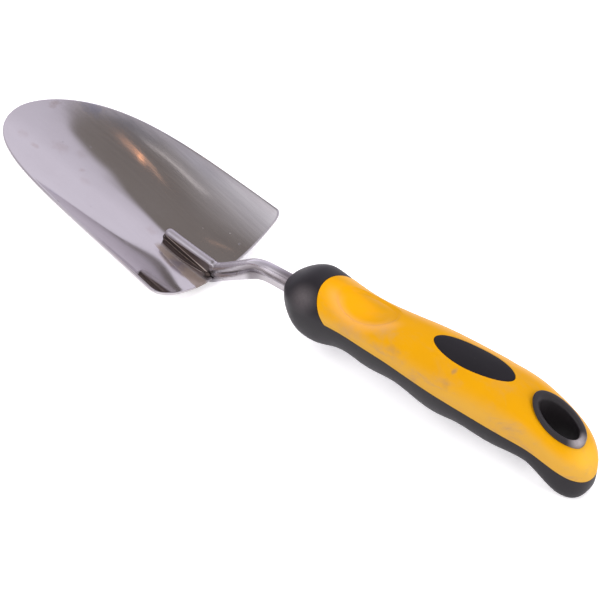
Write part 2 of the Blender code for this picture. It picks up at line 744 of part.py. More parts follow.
def make_core():
    """Rigid core inside the two skins, moulded round the tang."""
    inset = SKIN + 2 * GAP
    length = BULB_LENGTH - inset
    end = HANDLE_END - inset
    xs = [BULB_X - length * math.sin(a) for a in np.linspace(math.asin((BULB_X - FRONT_INNER - 2 * GAP) / length), 0, 6)]
    xs += list(np.linspace(BULB_X, 172, 17)[1:])
    xs += [172 + (end - 172) * math.sin(a) for a in np.linspace(0, math.pi / 2 * 0.93, 6)[1:]]
    rings = []
    for x in xs:
        top = half_section(x, 14, True, inset)
        top[:, 2] = np.where((top[:, 0] > 68) & (top[:, 0] < 104), np.minimum(top[:, 2], dish(top)[:, 2]), top[:, 2])
        low = half_section(x, 12, False, inset)
        low[:, 2] = np.maximum(low[:, 2], table_z(low[:, 0]) + inset)
        rings.append(np.vstack([top, low[1:-1]]))
    verts, faces = loft(rings)
    return closed_mesh("handle_core", verts, faces, (0.10, 0.10, 0.11), 0.5, 0.0)


def ellipse_prism(name, cx, a, b, z0, z1, n=44):
    rings = []
    for z in (z0, z1):
        rings.append([(cx + a * math.cos(t), b * math.sin(t), z) for t in np.linspace(0, 2 * math.pi, n, endpoint=False)])
    verts, faces = loft(rings)
    return helper(closed_mesh(name, verts, faces, *BLACK))


def oval_sheet(a, b, lift, n=40, rings=3):
    """Points of an oval patch that follows the upper surface."""
    out = []
    for k in range(rings, 0, -1):
        q = k / rings
        pts = []
        for t in np.linspace(0, 2 * math.pi, n, endpoint=False):
            x, y = OVAL_X + a * q * math.cos(t), b * q * math.sin(t)
            pts.append((x, y, float(skin_z(x, y)) + lift))
        out.append(pts)
    return out


def make_oval(name, a, b, low, high):
    top = oval_sheet(a, b, high)
    bottom = oval_sheet(a, b, low)
    rings = bottom[::-1] + top
    verts, faces = loft(rings)
    return closed_mesh(name, verts, faces, *BLACK)


def make_eyelet(n=44):
    """Sleeve through the butt with a raised collar on top."""
    ts = np.linspace(0, 2 * math.pi, n, endpoint=False)

    def plane(x, y):
        return RING_Z + RING_SLOPE * (x - RING_X) - RING_ROUND * y * y

    def band(a, b, z):
        return [(RING_X + a * math.cos(t), b * math.sin(t), z(RING_X + a * math.cos(t), b * math.sin(t))) for t in ts]

    so = (HOLE_A + SLEEVE, HOLE_B + SLEEVE)
    seat = lambda x, y: float(skin_z(x, y)) + GAP * 0.5 + 0.24
    prof = [
        band(*so, lambda x, y: float(under_z(x, y)) + 0.45),
        band(so[0], so[1], lambda x, y: min(seat(x, y), plane(x, y) - 0.6)),
        band(RING_A - 1.2, RING_B - 1.2, lambda x, y: min(max(seat(x, y), plane(x, y) - 2.2), plane(x, y) - 0.6)),
        band(RING_A - 0.25, RING_B - 0.25, lambda x, y: min(max(seat(x, y), plane(x, y) - 1.9), plane(x, y) - 0.35)),
        band(RING_A, RING_B, lambda x, y: plane(x, y) - 0.1),
        band(RING_A - 0.35, RING_B - 0.35, lambda x, y: plane(x, y) + 0.22),
        band(HOLE_A + 1.15, HOLE_B + 1.15, lambda x, y: plane(x, y) + 0.35),
        band(HOLE_A + 0.7, HOLE_B + 0.7, lambda x, y: plane(x, y) + 0.22),
        band(HOLE_A, HOLE_B, lambda x, y: plane(x, y) - 0.8),
        band(HOLE_A, HOLE_B, lambda x, y: float(under_z(x, y)) + 0.9),
        band(HOLE_A + 0.35, HOLE_B + 0.35, lambda x, y: float(under_z(x, y)) + 0.5),
    ]
    verts, faces = ring_loft(prof)
    return closed_mesh("hang_eyelet", verts, faces, *BLACK)


def make_neck():
    """Bar, rib and lobe end joined into one body."""
    ob = closed_mesh("neck", *loft(bar_rings()), *STEEL)
    for name, rings in (("rib_tool", tongue_rings()), ("lobe_tool", lobe_end_rings())):
        tool = helper(closed_mesh(name, *loft(rings), *STEEL))
        cut(ob, tool, "UNION")
    return ob


def make_tang_void():
    xs = [40.0, 60.0, 78.4, 79.2, 85.8, 86.8, 100.0, NECK_END + GAP]
    rings = []
    for x in xs:
        r = tang_outline(min(x, 60.0), GAP)
        r[:, 0] = x
        if 79.0 < x < 86.0:
            r[:, 1] *= 1.52
        rings.append(r)
    verts, faces = loft(rings)
    return helper(closed_mesh("tang_void", verts, faces, *STEEL))


blade = make_blade()
cut(blade, make_notch())
neck = make_neck()
make_tongue_weld()
make_underside_weld()
grip = make_grip()
shell = make_shell()
core = make_core()
hole = ellipse_prism("sleeve_cutter", RING_X, HOLE_A + SLEEVE + GAP, HOLE_B + SLEEVE + GAP, -20.0, 60.0)
for piece in (grip, shell, core):
    cut(piece, hole)
cut(core, make_tang_void())
cut(shell, helper(make_oval("oval_cutter", OVAL_A + 0.12, OVAL_B + 0.12, -OVAL_THICK - GAP, 6.0)))
make_oval("inlay_oval", OVAL_A - 0.12, OVAL_B - 0.12, -OVAL_THICK + 0.15, 0.12)
make_eyelet()
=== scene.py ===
import math

import bmesh
import bpy
import numpy as np
from mathutils import Matrix, Vector


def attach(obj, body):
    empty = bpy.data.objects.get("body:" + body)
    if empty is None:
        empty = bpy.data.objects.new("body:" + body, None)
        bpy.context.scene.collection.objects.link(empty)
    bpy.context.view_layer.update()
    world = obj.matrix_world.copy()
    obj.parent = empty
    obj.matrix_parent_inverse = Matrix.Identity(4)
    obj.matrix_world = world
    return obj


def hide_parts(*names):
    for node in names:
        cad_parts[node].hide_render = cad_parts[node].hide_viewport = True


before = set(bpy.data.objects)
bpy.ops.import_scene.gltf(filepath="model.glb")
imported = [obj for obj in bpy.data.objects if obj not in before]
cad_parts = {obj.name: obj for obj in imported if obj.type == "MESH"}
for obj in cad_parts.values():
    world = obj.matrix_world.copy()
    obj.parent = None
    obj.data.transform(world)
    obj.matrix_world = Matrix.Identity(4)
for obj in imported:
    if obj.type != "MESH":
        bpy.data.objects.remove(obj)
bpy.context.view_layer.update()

# ------------------------------------------------------------------ dimensions, as in the CAD (mm, degrees)
GAP = 0.3
BLADE_WIDTH, BLADE_LENGTH, BLADE_SHEET, BLADE_DEPTH = 80.5, 133.0, 1.3, 16.5
BLADE_SECTION, BLADE_FLATTEN, BLADE_TAPER, BLADE_NOSE = 2.43, 0.40, 0.146, 4.62
BLADE_TILT, BLADE_BOW, REAR_BOW, CORNER_R = 19.24, -0.00079, 2.0, 3.4
NOTCH_WIDTH, NOTCH_DEPTH = 4.8, 4.4
SEAT_DEPTH, SEAT_START, SEAT_FULL, SEAT_END, SEAT_WIDTH, SECTION_REAR = 3.0, 1.0, 28.0, 75.0, 16.3, 2.36
TONGUE_TIP, NECK_RISE, NECK_END, LEVEL_Z = -31.2, 29.7, 104.0, 19.2
HANDLE = (
    (44.0, 29.6, 7.6, 12.8), (52.0, 31.7, 6.2, 14.0), (60.0, 32.5, 2.9, 14.6), (68.0, 30.8, 2.5, 14.2),
    (76.0, 29.5, 5.1, 13.5), (84.0, 29.0, 5.9, 13.1), (92.0, 29.1, 4.5, 13.3), (100.0, 29.9, 4.7, 13.6),
    (108.0, 30.8, 5.6, 14.0), (116.0, 31.4, 4.7, 14.7), (124.0, 31.6, 2.8, 15.3), (132.0, 31.6, 2.6, 15.6),
    (140.0, 31.7, 4.0, 15.6), (148.0, 31.7, 3.5, 15.4), (156.0, 30.8, 2.7, 14.9), (164.0, 29.2, 3.2, 14.0),
    (172.0, 26.3, 2.5, 12.9), (180.0, 22.9, -1.4, 12.3), (187.0, 20.8, -6.0, 12.2),
)
WAIST = (
    (44.0, 23.5), (60.0, 21.8), (76.0, 21.2), (90.0, 20.4), (105.0, 19.8), (120.0, 19.3), (135.0, 18.5),
    (150.0, 17.5), (165.0, 15.6), (175.0, 13.8), (182.0, 11.4), (188.0, 8.5), (194.7, 5.2),
)
HANDLE_END = 194.7
BULB_X, BULB_LENGTH = 60.0, 14.4
SKIN, FRONT_OUTER, FRONT_INNER = 3.0, 47.7, 51.8
SHELL_FRONT, SHELL_SIDE = 65.0, 75.2
THUMB_X, THUMB_A, THUMB_B, THUMB_DEPTH = 86.5, 15.4, 9.4, 1.5
OVAL_X, OVAL_A, OVAL_B, OVAL_THICK = 138.3, 18.4, 6.8, 2.0
RING_X, RING_Z, RING_SLOPE, RING_ROUND = 177.7, 24.9, -0.50, 0.010
RING_A, RING_B, HOLE_A, HOLE_B, SLEEVE = 11.35, 8.2, 8.5, 5.3, 1.4
TABLE_A, TABLE_B = (-3.0, -2.5), (186.0, -4.0)
TURN = math.atan2(TABLE_A[1] - TABLE_B[1], TABLE_B[0] - TABLE_A[0])
TILT = math.radians(BLADE_TILT)


def table_z(x):
    (x0, z0), (x1, z1) = TABLE_A, TABLE_B
    return z0 + (z1 - z0) * (x - x0) / (x1 - x0)


# ------------------------------------------------------------------------------------- maths helpers
def spline(table_x, table_y, x):
    xs, ys = np.asarray(table_x, float), np.asarray(table_y, float)
    n, h = len(xs), np.diff(xs)
    a, b = np.eye(n), np.zeros(n)
    for i in range(1, n - 1):
        a[i, i - 1:i + 2] = h[i - 1], 2 * (h[i - 1] + h[i]), h[i]
        b[i] = 6 * ((ys[i + 1] - ys[i]) / h[i] - (ys[i] - ys[i - 1]) / h[i - 1])
    m = np.linalg.solve(a, b)
    x = np.asarray(x, float)
    k = np.clip(np.searchsorted(xs, x) - 1, 0, n - 2)
    t0, t1, hk = xs[k + 1] - x, x - xs[k], h[k]
    return (
        m[k] * t0 ** 3 / (6 * hk) + m[k + 1] * t1 ** 3 / (6 * hk)
        + (ys[k] / hk - m[k] * hk / 6) * t0 + (ys[k + 1] / hk - m[k + 1] * hk / 6) * t1
    )


def rounding(x, start, end, power):
    u = np.clip((np.asarray(x, float) - start) / (end - start), 0, 1)
    return (1 - u ** power) ** (1 / power)


def smooth(a, b, x):
    u = np.clip((np.asarray(x, float) - a) / (b - a), 0, 1)
    return u * u * (3 - 2 * u)


def turned(p):
    p = np.asarray(p, float)
    c, s = math.cos(TURN), math.sin(TURN)
    return np.stack([p[..., 0] * c - p[..., 2] * s, p[..., 1], p[..., 0] * s + p[..., 2] * c], -1)


def channel(s):
    """Depth of the seat that is pressed round the bar; it starts at the rear edge and fades out in front of the bar."""
    s = np.asarray(s, float)
    rear = 1 - np.clip(1 - (s - SEAT_START) / (SEAT_FULL - SEAT_START), 0, 1) ** 2
    front = 0.5 + 0.5 * np.cos(math.pi * np.clip((s - SEAT_FULL) / (SEAT_END - SEAT_FULL), 0, 1))
    return SEAT_DEPTH * rear * front


def blade_up(s, y):
    """Height of the underside over the blade's own plane, and its slope across the blade."""
    u = np.clip(s / BLADE_LENGTH, 0, 1)
    depth = BLADE_DEPTH * (1 - BLADE_FLATTEN * u)
    power = BLADE_SECTION + (SECTION_REAR - BLADE_SECTION) * np.clip(1 - s / 30, 0, 1) ** 2
    a = np.abs(2 * y / BLADE_WIDTH)
    seat = channel(s) * np.exp(-(y / SEAT_WIDTH) ** 2)
    slope = depth * power * a ** (power - 1) * 2 / BLADE_WIDTH * np.sign(y) + seat * 2 * y / SEAT_WIDTH ** 2
    return BLADE_BOW * s * s / 2 + depth * a ** power - seat, slope


def blade_point(s, y, off=0.0):
    s, y, off = np.broadcast_arrays(np.asarray(s, float), np.asarray(y, float), np.asarray(off, float))
    up, slope = blade_up(s, y)
    n = np.sqrt(1 + slope ** 2)
    up = up + off / n
    return np.stack([
        -s * math.cos(TILT) + up * math.sin(TILT), y - off * slope / n, s * math.sin(TILT) + up * math.cos(TILT)
    ], -1)


NOSE_X = float(turned(blade_point(np.full(9, BLADE_LENGTH), np.zeros(9), np.linspace(0, BLADE_SHEET, 9)))[:, 0].min())
MID_X = (NOSE_X + float(turned((HANDLE_END, 0, 5.0))[0])) / 2
FLOOR_Z = float(turned((TABLE_A[0], 0, TABLE_A[1]))[2])


def place(p):
    """Working frame in millimetres to the row frame in metres."""
    q = turned(p)
    q[..., 0] -= MID_X
    q[..., 2] = np.maximum(q[..., 2] - FLOOR_Z, 0.0)
    return q / 1000


def place_dir(d):
    c, s = math.cos(TURN), math.sin(TURN)
    return Vector((d[0] * c - d[2] * s, d[1], d[0] * s + d[2] * c))


# --------------------------------------------------------------------------------------- mesh helpers
def make_object(name, points, faces, material, sharp=None, merge=True):
    me = bpy.data.meshes.new(name)
    me.from_pydata(place(np.asarray(points, float)).tolist(), [], faces)
    if merge:
        bm = bmesh.new()
        bm.from_mesh(me)
        bmesh.ops.remove_doubles(bm, verts=bm.verts, dist=2e-7)
        bmesh.ops.recalc_face_normals(bm, faces=bm.faces)
        if bm.calc_volume(signed=True) < 0:
            bmesh.ops.reverse_faces(bm, faces=bm.faces)
        bm.to_mesh(me)
        bm.free()
    ob = bpy.data.objects.new(name, me)
    bpy.context.scene.collection.objects.link(ob)
    if material:
        me.materials.append(material)
    me.shade_smooth()
    if sharp is not None:
        me.set_sharp_from_angle(angle=math.radians(sharp))
    return ob


def finish_modifiers(ob, sharp=None):
    """Turns the evaluated mesh into the object's own mesh."""
    graph = bpy.context.evaluated_depsgraph_get()
    graph.update()
    me = bpy.data.meshes.new_from_object(ob.evaluated_get(graph), preserve_all_data_layers=True, depsgraph=graph)
    ob.modifiers.clear()
    old = ob.data
    ob.data = me
    bpy.data.meshes.remove(old)
    me.shade_smooth()
    if sharp is not None:
        me.set_sharp_from_angle(angle=math.radians(sharp))
    return ob


def boolean(ob, tool, kind="DIFFERENCE"):
    mod = ob.modifiers.new(kind.title(), "BOOLEAN")
    mod.operation, mod.solver, mod.object = kind, "EXACT", tool


def drop(*objects):
    for o in objects:
        me = o.data
        bpy.data.objects.remove(o, do_unlink=True)
        bpy.data.meshes.remove(me)


def loft(rings):
    """Closed skin over equal rings, with a fan at each end."""
    rings = [np.asarray(r, float) for r in rings]
    n = len(rings[0])
    points = np.vstack(rings + [rings[0].mean(0)[None], rings[-1].mean(0)[None]])
    faces = []
    for i in range(len(rings) - 1):
        for j in range(n):
            k = (j + 1) % n
            faces.append((i * n + j, i * n + k, (i + 1) * n + k, (i + 1) * n + j))
    a, b = len(points) - 2, len(points) - 1
    base = (len(rings) - 1) * n
    for j in range(n):
        faces.append(((j + 1) % n, j, a))
        faces.append((base + j, base + (j + 1) % n, b))
    return points, faces


def band_loft(rings):
    """A closed band, the last ring back to the first."""
    rings = [np.asarray(r, float) for r in rings]
    n, m = len(rings[0]), len(rings)
    faces = []
    for i in range(m):
        for j in range(n):
            k, i2 = (j + 1) % n, (i + 1) % m
            faces.append((i * n + j, i * n + k, i2 * n + k, i2 * n + j))
    return np.vstack(rings), faces


def value_noise(p, scale, seed):
    """Smooth repeatable noise from a few sines, about -1 to 1; p in mm."""
    rng = np.random.RandomState(seed)
    out = np.zeros(p.shape[:-1])
    for _ in range(7):
        d = rng.normal(size=3)
        d /= np.linalg.norm(d)
        k = 2 * math.pi / scale * rng.uniform(0.6, 1.7)
        out += np.sin(p @ d * k + rng.uniform(0, 6.28))
    return out / 3.6


# ------------------------------------------------------------------------------------------ materials
def new_material(name):
    m = bpy.data.materials.new(name)
    m.use_nodes = True
    nt = m.node_tree
    bsdf = nt.nodes["Principled BSDF"]
    return m, nt, bsdf


class Nodes:
    """Small wrapper that makes and links nodes."""

    def __init__(self, tree):
        self.t = tree

    def new(self, kind, **settings):
        n = self.t.nodes.new(kind)
        for k, v in settings.items():
            setattr(n, k, v)
        return n

    def link(self, a, b):
        self.t.links.new(a, b)

    def plug(self, socket, value):
        if isinstance(value, bpy.types.NodeSocket):
            self.t.links.new(value, socket)
        elif isinstance(value, (tuple, list)) and len(value) == 3 and socket.type == "RGBA":
            socket.default_value = (*value, 1)
        else:
            socket.default_value = value

    def math(self, op, a, b=0.0, c=0.0, clamp=False):
        n = self.new("ShaderNodeMath", operation=op, use_clamp=clamp)
        for i, v in enumerate((a, b, c)):
            self.plug(n.inputs[i], v)
        return n.outputs[0]

    def vmath(self, op, a, b=(0, 0, 0), scale=None):
        n = self.new("ShaderNodeVectorMath", operation=op)
        self.plug(n.inputs[0], a)
        self.plug(n.inputs[1], b)
        if scale is not None:
            n.inputs["Scale"].default_value = scale
        return n.outputs["Value"] if op in ("DOT_PRODUCT", "LENGTH", "DISTANCE") else n.outputs[0]

    def mix(self, f, a, b, blend="MIX"):
        n = self.new("ShaderNodeMix", data_type="RGBA", blend_type=blend)
        self.plug(n.inputs[0], f)
        self.plug(n.inputs[6], a)
        self.plug(n.inputs[7], b)
        return n.outputs[2]

    def coords(self, scale=(1, 1, 1), rotation=(0, 0, 0), location=(0, 0, 0)):
        tc = self.new("ShaderNodeTexCoord")
        mp = self.new("ShaderNodeMapping")
        mp.inputs["Scale"].default_value = scale
        mp.inputs["Rotation"].default_value = rotation
        mp.inputs["Location"].default_value = location
        self.link(tc.outputs["Object"], mp.inputs["Vector"])
        return mp.outputs[0]

    def noise(self, vector, scale, detail=4.0, rough=0.5, distortion=0.0):
        n = self.new("ShaderNodeTexNoise")
        self.plug(n.inputs["Vector"], vector)
        n.inputs["Scale"].default_value = scale
        n.inputs["Detail"].default_value = detail
        n.inputs["Roughness"].default_value = rough
        n.inputs["Distortion"].default_value = distortion
        return n.outputs[0]

    def ramp(self, f, *stops, mode="LINEAR"):
        n = self.new("ShaderNodeValToRGB")
        n.color_ramp.interpolation = mode
        e = n.color_ramp.elements
        while len(e) < len(stops):
            e.new(0.5)
        for i, (pos, col) in enumerate(stops):
            e[i].position = pos
            e[i].color = (*col, 1) if isinstance(col, tuple) else (col, col, col, 1)
        self.plug(n.inputs[0], f)
        return n.outputs[0]

    def span(self, v, a, b, lo=0.0, hi=1.0, smoothly=True):
        n = self.new("ShaderNodeMapRange")
        n.interpolation_type = "SMOOTHSTEP" if smoothly else "LINEAR"
        self.plug(n.inputs["Value"], v)
        for k, x in (("From Min", a), ("From Max", b), ("To Min", lo), ("To Max", hi)):
            n.inputs[k].default_value = x
        return n.outputs[0]

    def bump(self, height, strength, distance, normal=None):
        n = self.new("ShaderNodeBump")
        n.inputs["Strength"].default_value = strength
        n.inputs["Distance"].default_value = distance
        self.plug(n.inputs["Height"], height)
        if normal is not None:
            self.link(normal, n.inputs["Normal"])
        return n.outputs[0]

    def spot(self, centre_mm, radii_mm, soft=0.5, wobble=None):
        """1 at a point of the working frame, falling to 0 at the radii."""
        c = place(np.array(centre_mm, float))
        tc = self.new("ShaderNodeTexCoord").outputs["Object"]
        v = self.vmath("SUBTRACT", tc, tuple(float(x) for x in c))
        v = self.vmath("MULTIPLY", v, tuple(1000.0 / r for r in radii_mm))
        d = self.vmath("LENGTH", v)
        if wobble is not None:
            d = self.math("ADD", d, wobble)
        return self.span(d, 1.0, 1.0 - soft, 0.0, 1.0)


STEEL = (0.63, 0.60, 0.62)
LOW_WALL = 3.0


def steel_blade():
    m, nt, bsdf = new_material("blade_steel")
    q = Nodes(nt)
    along = q.coords(rotation=(0.0, -(TILT + TURN), 0.0))
    fine = q.noise(q.vmath("MULTIPLY", along, (30, 2300, 2300)), 1.0, 4.0, 0.6)
    brush = q.noise(q.vmath("MULTIPLY", along, (22, 760, 760)), 1.0, 4.0, 0.65)
    broad = q.noise(q.vmath("MULTIPLY", along, (12, 210, 210)), 1.0, 2.0, 0.5)
    cloud = q.noise(along, 55.0, 4.0, 0.6)
    side = q.new("ShaderNodeSeparateXYZ")
    q.link(q.new("ShaderNodeTexCoord").outputs["Object"], side.inputs[0])
    far = q.span(side.outputs["Y"], 0.006, 0.024, 0.0, 1.0)
    # stains, heat tint mixed with a painted reflection of the rib, a painted reflection strip along the rib, and pits
    wob = q.math("MULTIPLY", q.math("SUBTRACT", q.noise(along, 420.0, 4.0, 0.65), 0.5), 1.5)
    stain = None
    for c, r, k in (
        ((-118.5, 13.0, 37.0), (3.0, 4.2, 5), 0.34), ((-101.5, -13.6, 32.8), (3.6, 2.0, 5), 0.34), ((-111.0, -12.6, 35.4), (4.0, 3.4, 5), 0.20),
        ((-95.0, -4.0, 30.5), (7.0, 5.0, 5), 0.22), ((-78.2, -6.3, 26.0), (2.0, 2.0, 5), 0.28), ((-72.0, -10.0, 25.0), (5.0, 3.4, 5), 0.16),
        ((-86.0, 0.5, 28.0), (5.0, 3.6, 5), 0.14), ((-36.0, -4.0, 11.0), (4.0, 3.0, 5), 0.20),
    ):
        one = q.math("MULTIPLY", q.spot(c, r, 0.9, wob), k)
        stain = one if stain is None else q.math("MAXIMUM", stain, one)
    base = q.mix(q.span(cloud, 0.35, 0.70, 0.0, 0.20), STEEL, (0.56, 0.52, 0.53))
    streak = q.math("MULTIPLY_ADD", q.span(brush, 0.36, 0.66), 0.17, q.span(broad, 0.38, 0.62, 0.0, 0.10))
    base = q.mix(q.math("MULTIPLY", streak, q.math("MULTIPLY_ADD", far, 0.85, 0.15)), base, (0.36, 0.345, 0.37))
    base = q.mix(q.math("MULTIPLY", stain, 0.8), base, (0.44, 0.33, 0.29))
    blue = q.spot((-103.0, 23.5, 36.0), (9.0, 5.0, 8), 0.9, wob)
    base = q.mix(q.math("MULTIPLY", blue, 0.55), base, (0.44, 0.46, 0.60))
    # brown and straw beside the rib: heat tint, partly a painted reflection of the rib
    heat_tint_and_reflection = q.spot((-13.5, -9.6, 5.2), (18.5, 4.6, 8), 0.6, q.math("MULTIPLY", wob, 0.5))
    tint = q.ramp(q.noise(along, 130.0, 2.0), (0.30, (0.60, 0.47, 0.33)), (0.50, (0.50, 0.42, 0.38)), (0.66, (0.42, 0.38, 0.46)))
    base = q.mix(q.math("MULTIPLY", heat_tint_and_reflection, 0.85), base, tint)
    # a brown strip along the rib's near side, less metallic: a painted reflection of the rib in the sheet
    lane = q.math("MULTIPLY_ADD", side.outputs["X"], -130.0, -MID_X * 0.13 - 12.9)
    y_mm = q.math("MULTIPLY_ADD", side.outputs["Y"], 1000.0, q.math("MULTIPLY", wob, 0.7))
    rib_reflection = q.math("MULTIPLY", q.span(y_mm, -4.6, -6.8), q.span(q.math("SUBTRACT", y_mm, lane), -0.4, 0.8))
    rib_reflection = q.math("MULTIPLY", rib_reflection, q.span(side.outputs["X"], (-30.5 - MID_X) / 1000, (-26.5 - MID_X) / 1000))
    middle = q.spot((-15.0, -8.5, 5.0), (6.5, 7.0, 8), 1.0, wob)
    rib_reflection_col = q.mix(q.noise(along, 260.0, 4.0, 0.6), (0.20, 0.155, 0.13), (0.36, 0.29, 0.255))
    rib_reflection_col = q.mix(q.math("MULTIPLY", middle, 0.8), rib_reflection_col, (0.150, 0.130, 0.165))
    base = q.mix(q.math("MULTIPLY", rib_reflection, 0.95), base, rib_reflection_col)
    burn = q.spot((-1.5, -3.4, 2.0), (4.6, 3.0, 4), 0.9, wob)
    base = q.mix(q.math("MULTIPLY", burn, 0.9), base, (0.085, 0.07, 0.06))
    pits = None
    for c, r in (
        ((-4.4, 19.8, 5.9), 0.42), ((-61.1, -34.4, 30.5), 0.50), ((-87.1, 7.2, 28.5), 0.34), ((-97.0, -1.0, 31.0), 0.26),
        ((-49.0, 26.0, 22.0), 0.26), ((-57.0, -20.0, 24.0), 0.30), ((-24.0, -30.0, 18.0), 0.30),
    ):
        one = q.spot(c, (r, r, 3.0), 0.6)
        pits = one if pits is None else q.math("MAXIMUM", pits, one)
    base = q.mix(q.math("MULTIPLY", pits, 0.8), base, (0.10, 0.085, 0.08))
    nicks = q.math("MAXIMUM", q.spot((-22.2, 14.7, 9.0), (0.26, 0.26, 3.0), 0.9), q.spot((-11.0, 20.7, 8.2), (0.75, 0.20, 3.0), 0.9))
    base = q.mix(q.math("MULTIPLY", nicks, 0.55), base, (0.95, 0.93, 0.93))
    q.link(base, bsdf.inputs["Base Color"])
    q.link(q.math("MULTIPLY_ADD", rib_reflection, -0.55, 1.0), bsdf.inputs["Metallic"])
    rough = q.math("MULTIPLY_ADD", fine, 0.030, 0.062)
    rough = q.math("MULTIPLY_ADD", cloud, 0.020, rough)
    rough = q.math("MULTIPLY_ADD", q.math("MULTIPLY", brush, far), 0.045, rough)
    rough = q.math("MULTIPLY_ADD", stain, 0.16, rough)
    rough = q.math("MULTIPLY_ADD", rib_reflection, 0.10, rough)
    rough = q.math("MULTIPLY_ADD", burn, 0.40, rough)
    rough = q.math("MULTIPLY_ADD", nicks, 0.30, rough)
    q.link(rough, bsdf.inputs["Roughness"])
    bsdf.inputs["Anisotropic"].default_value = 0.45
    tangent = q.new("ShaderNodeTangent", direction_type="RADIAL", axis="X")
    q.link(tangent.outputs[0], bsdf.inputs["Tangent"])
    b = q.bump(fine, 0.12, 0.00002)
    b = q.bump(q.math("MULTIPLY", brush, q.math("MULTIPLY_ADD", far, 0.9, 0.1)), 0.30, 0.00005, b)
    b = q.bump(q.math("MULTIPLY", broad, far), 0.25, 0.00010, b)
    b = q.bump(q.math("MULTIPLY", pits, -1.0), 0.6, 0.0002, b)
    q.link(b, bsdf.inputs["Normal"])
    return m


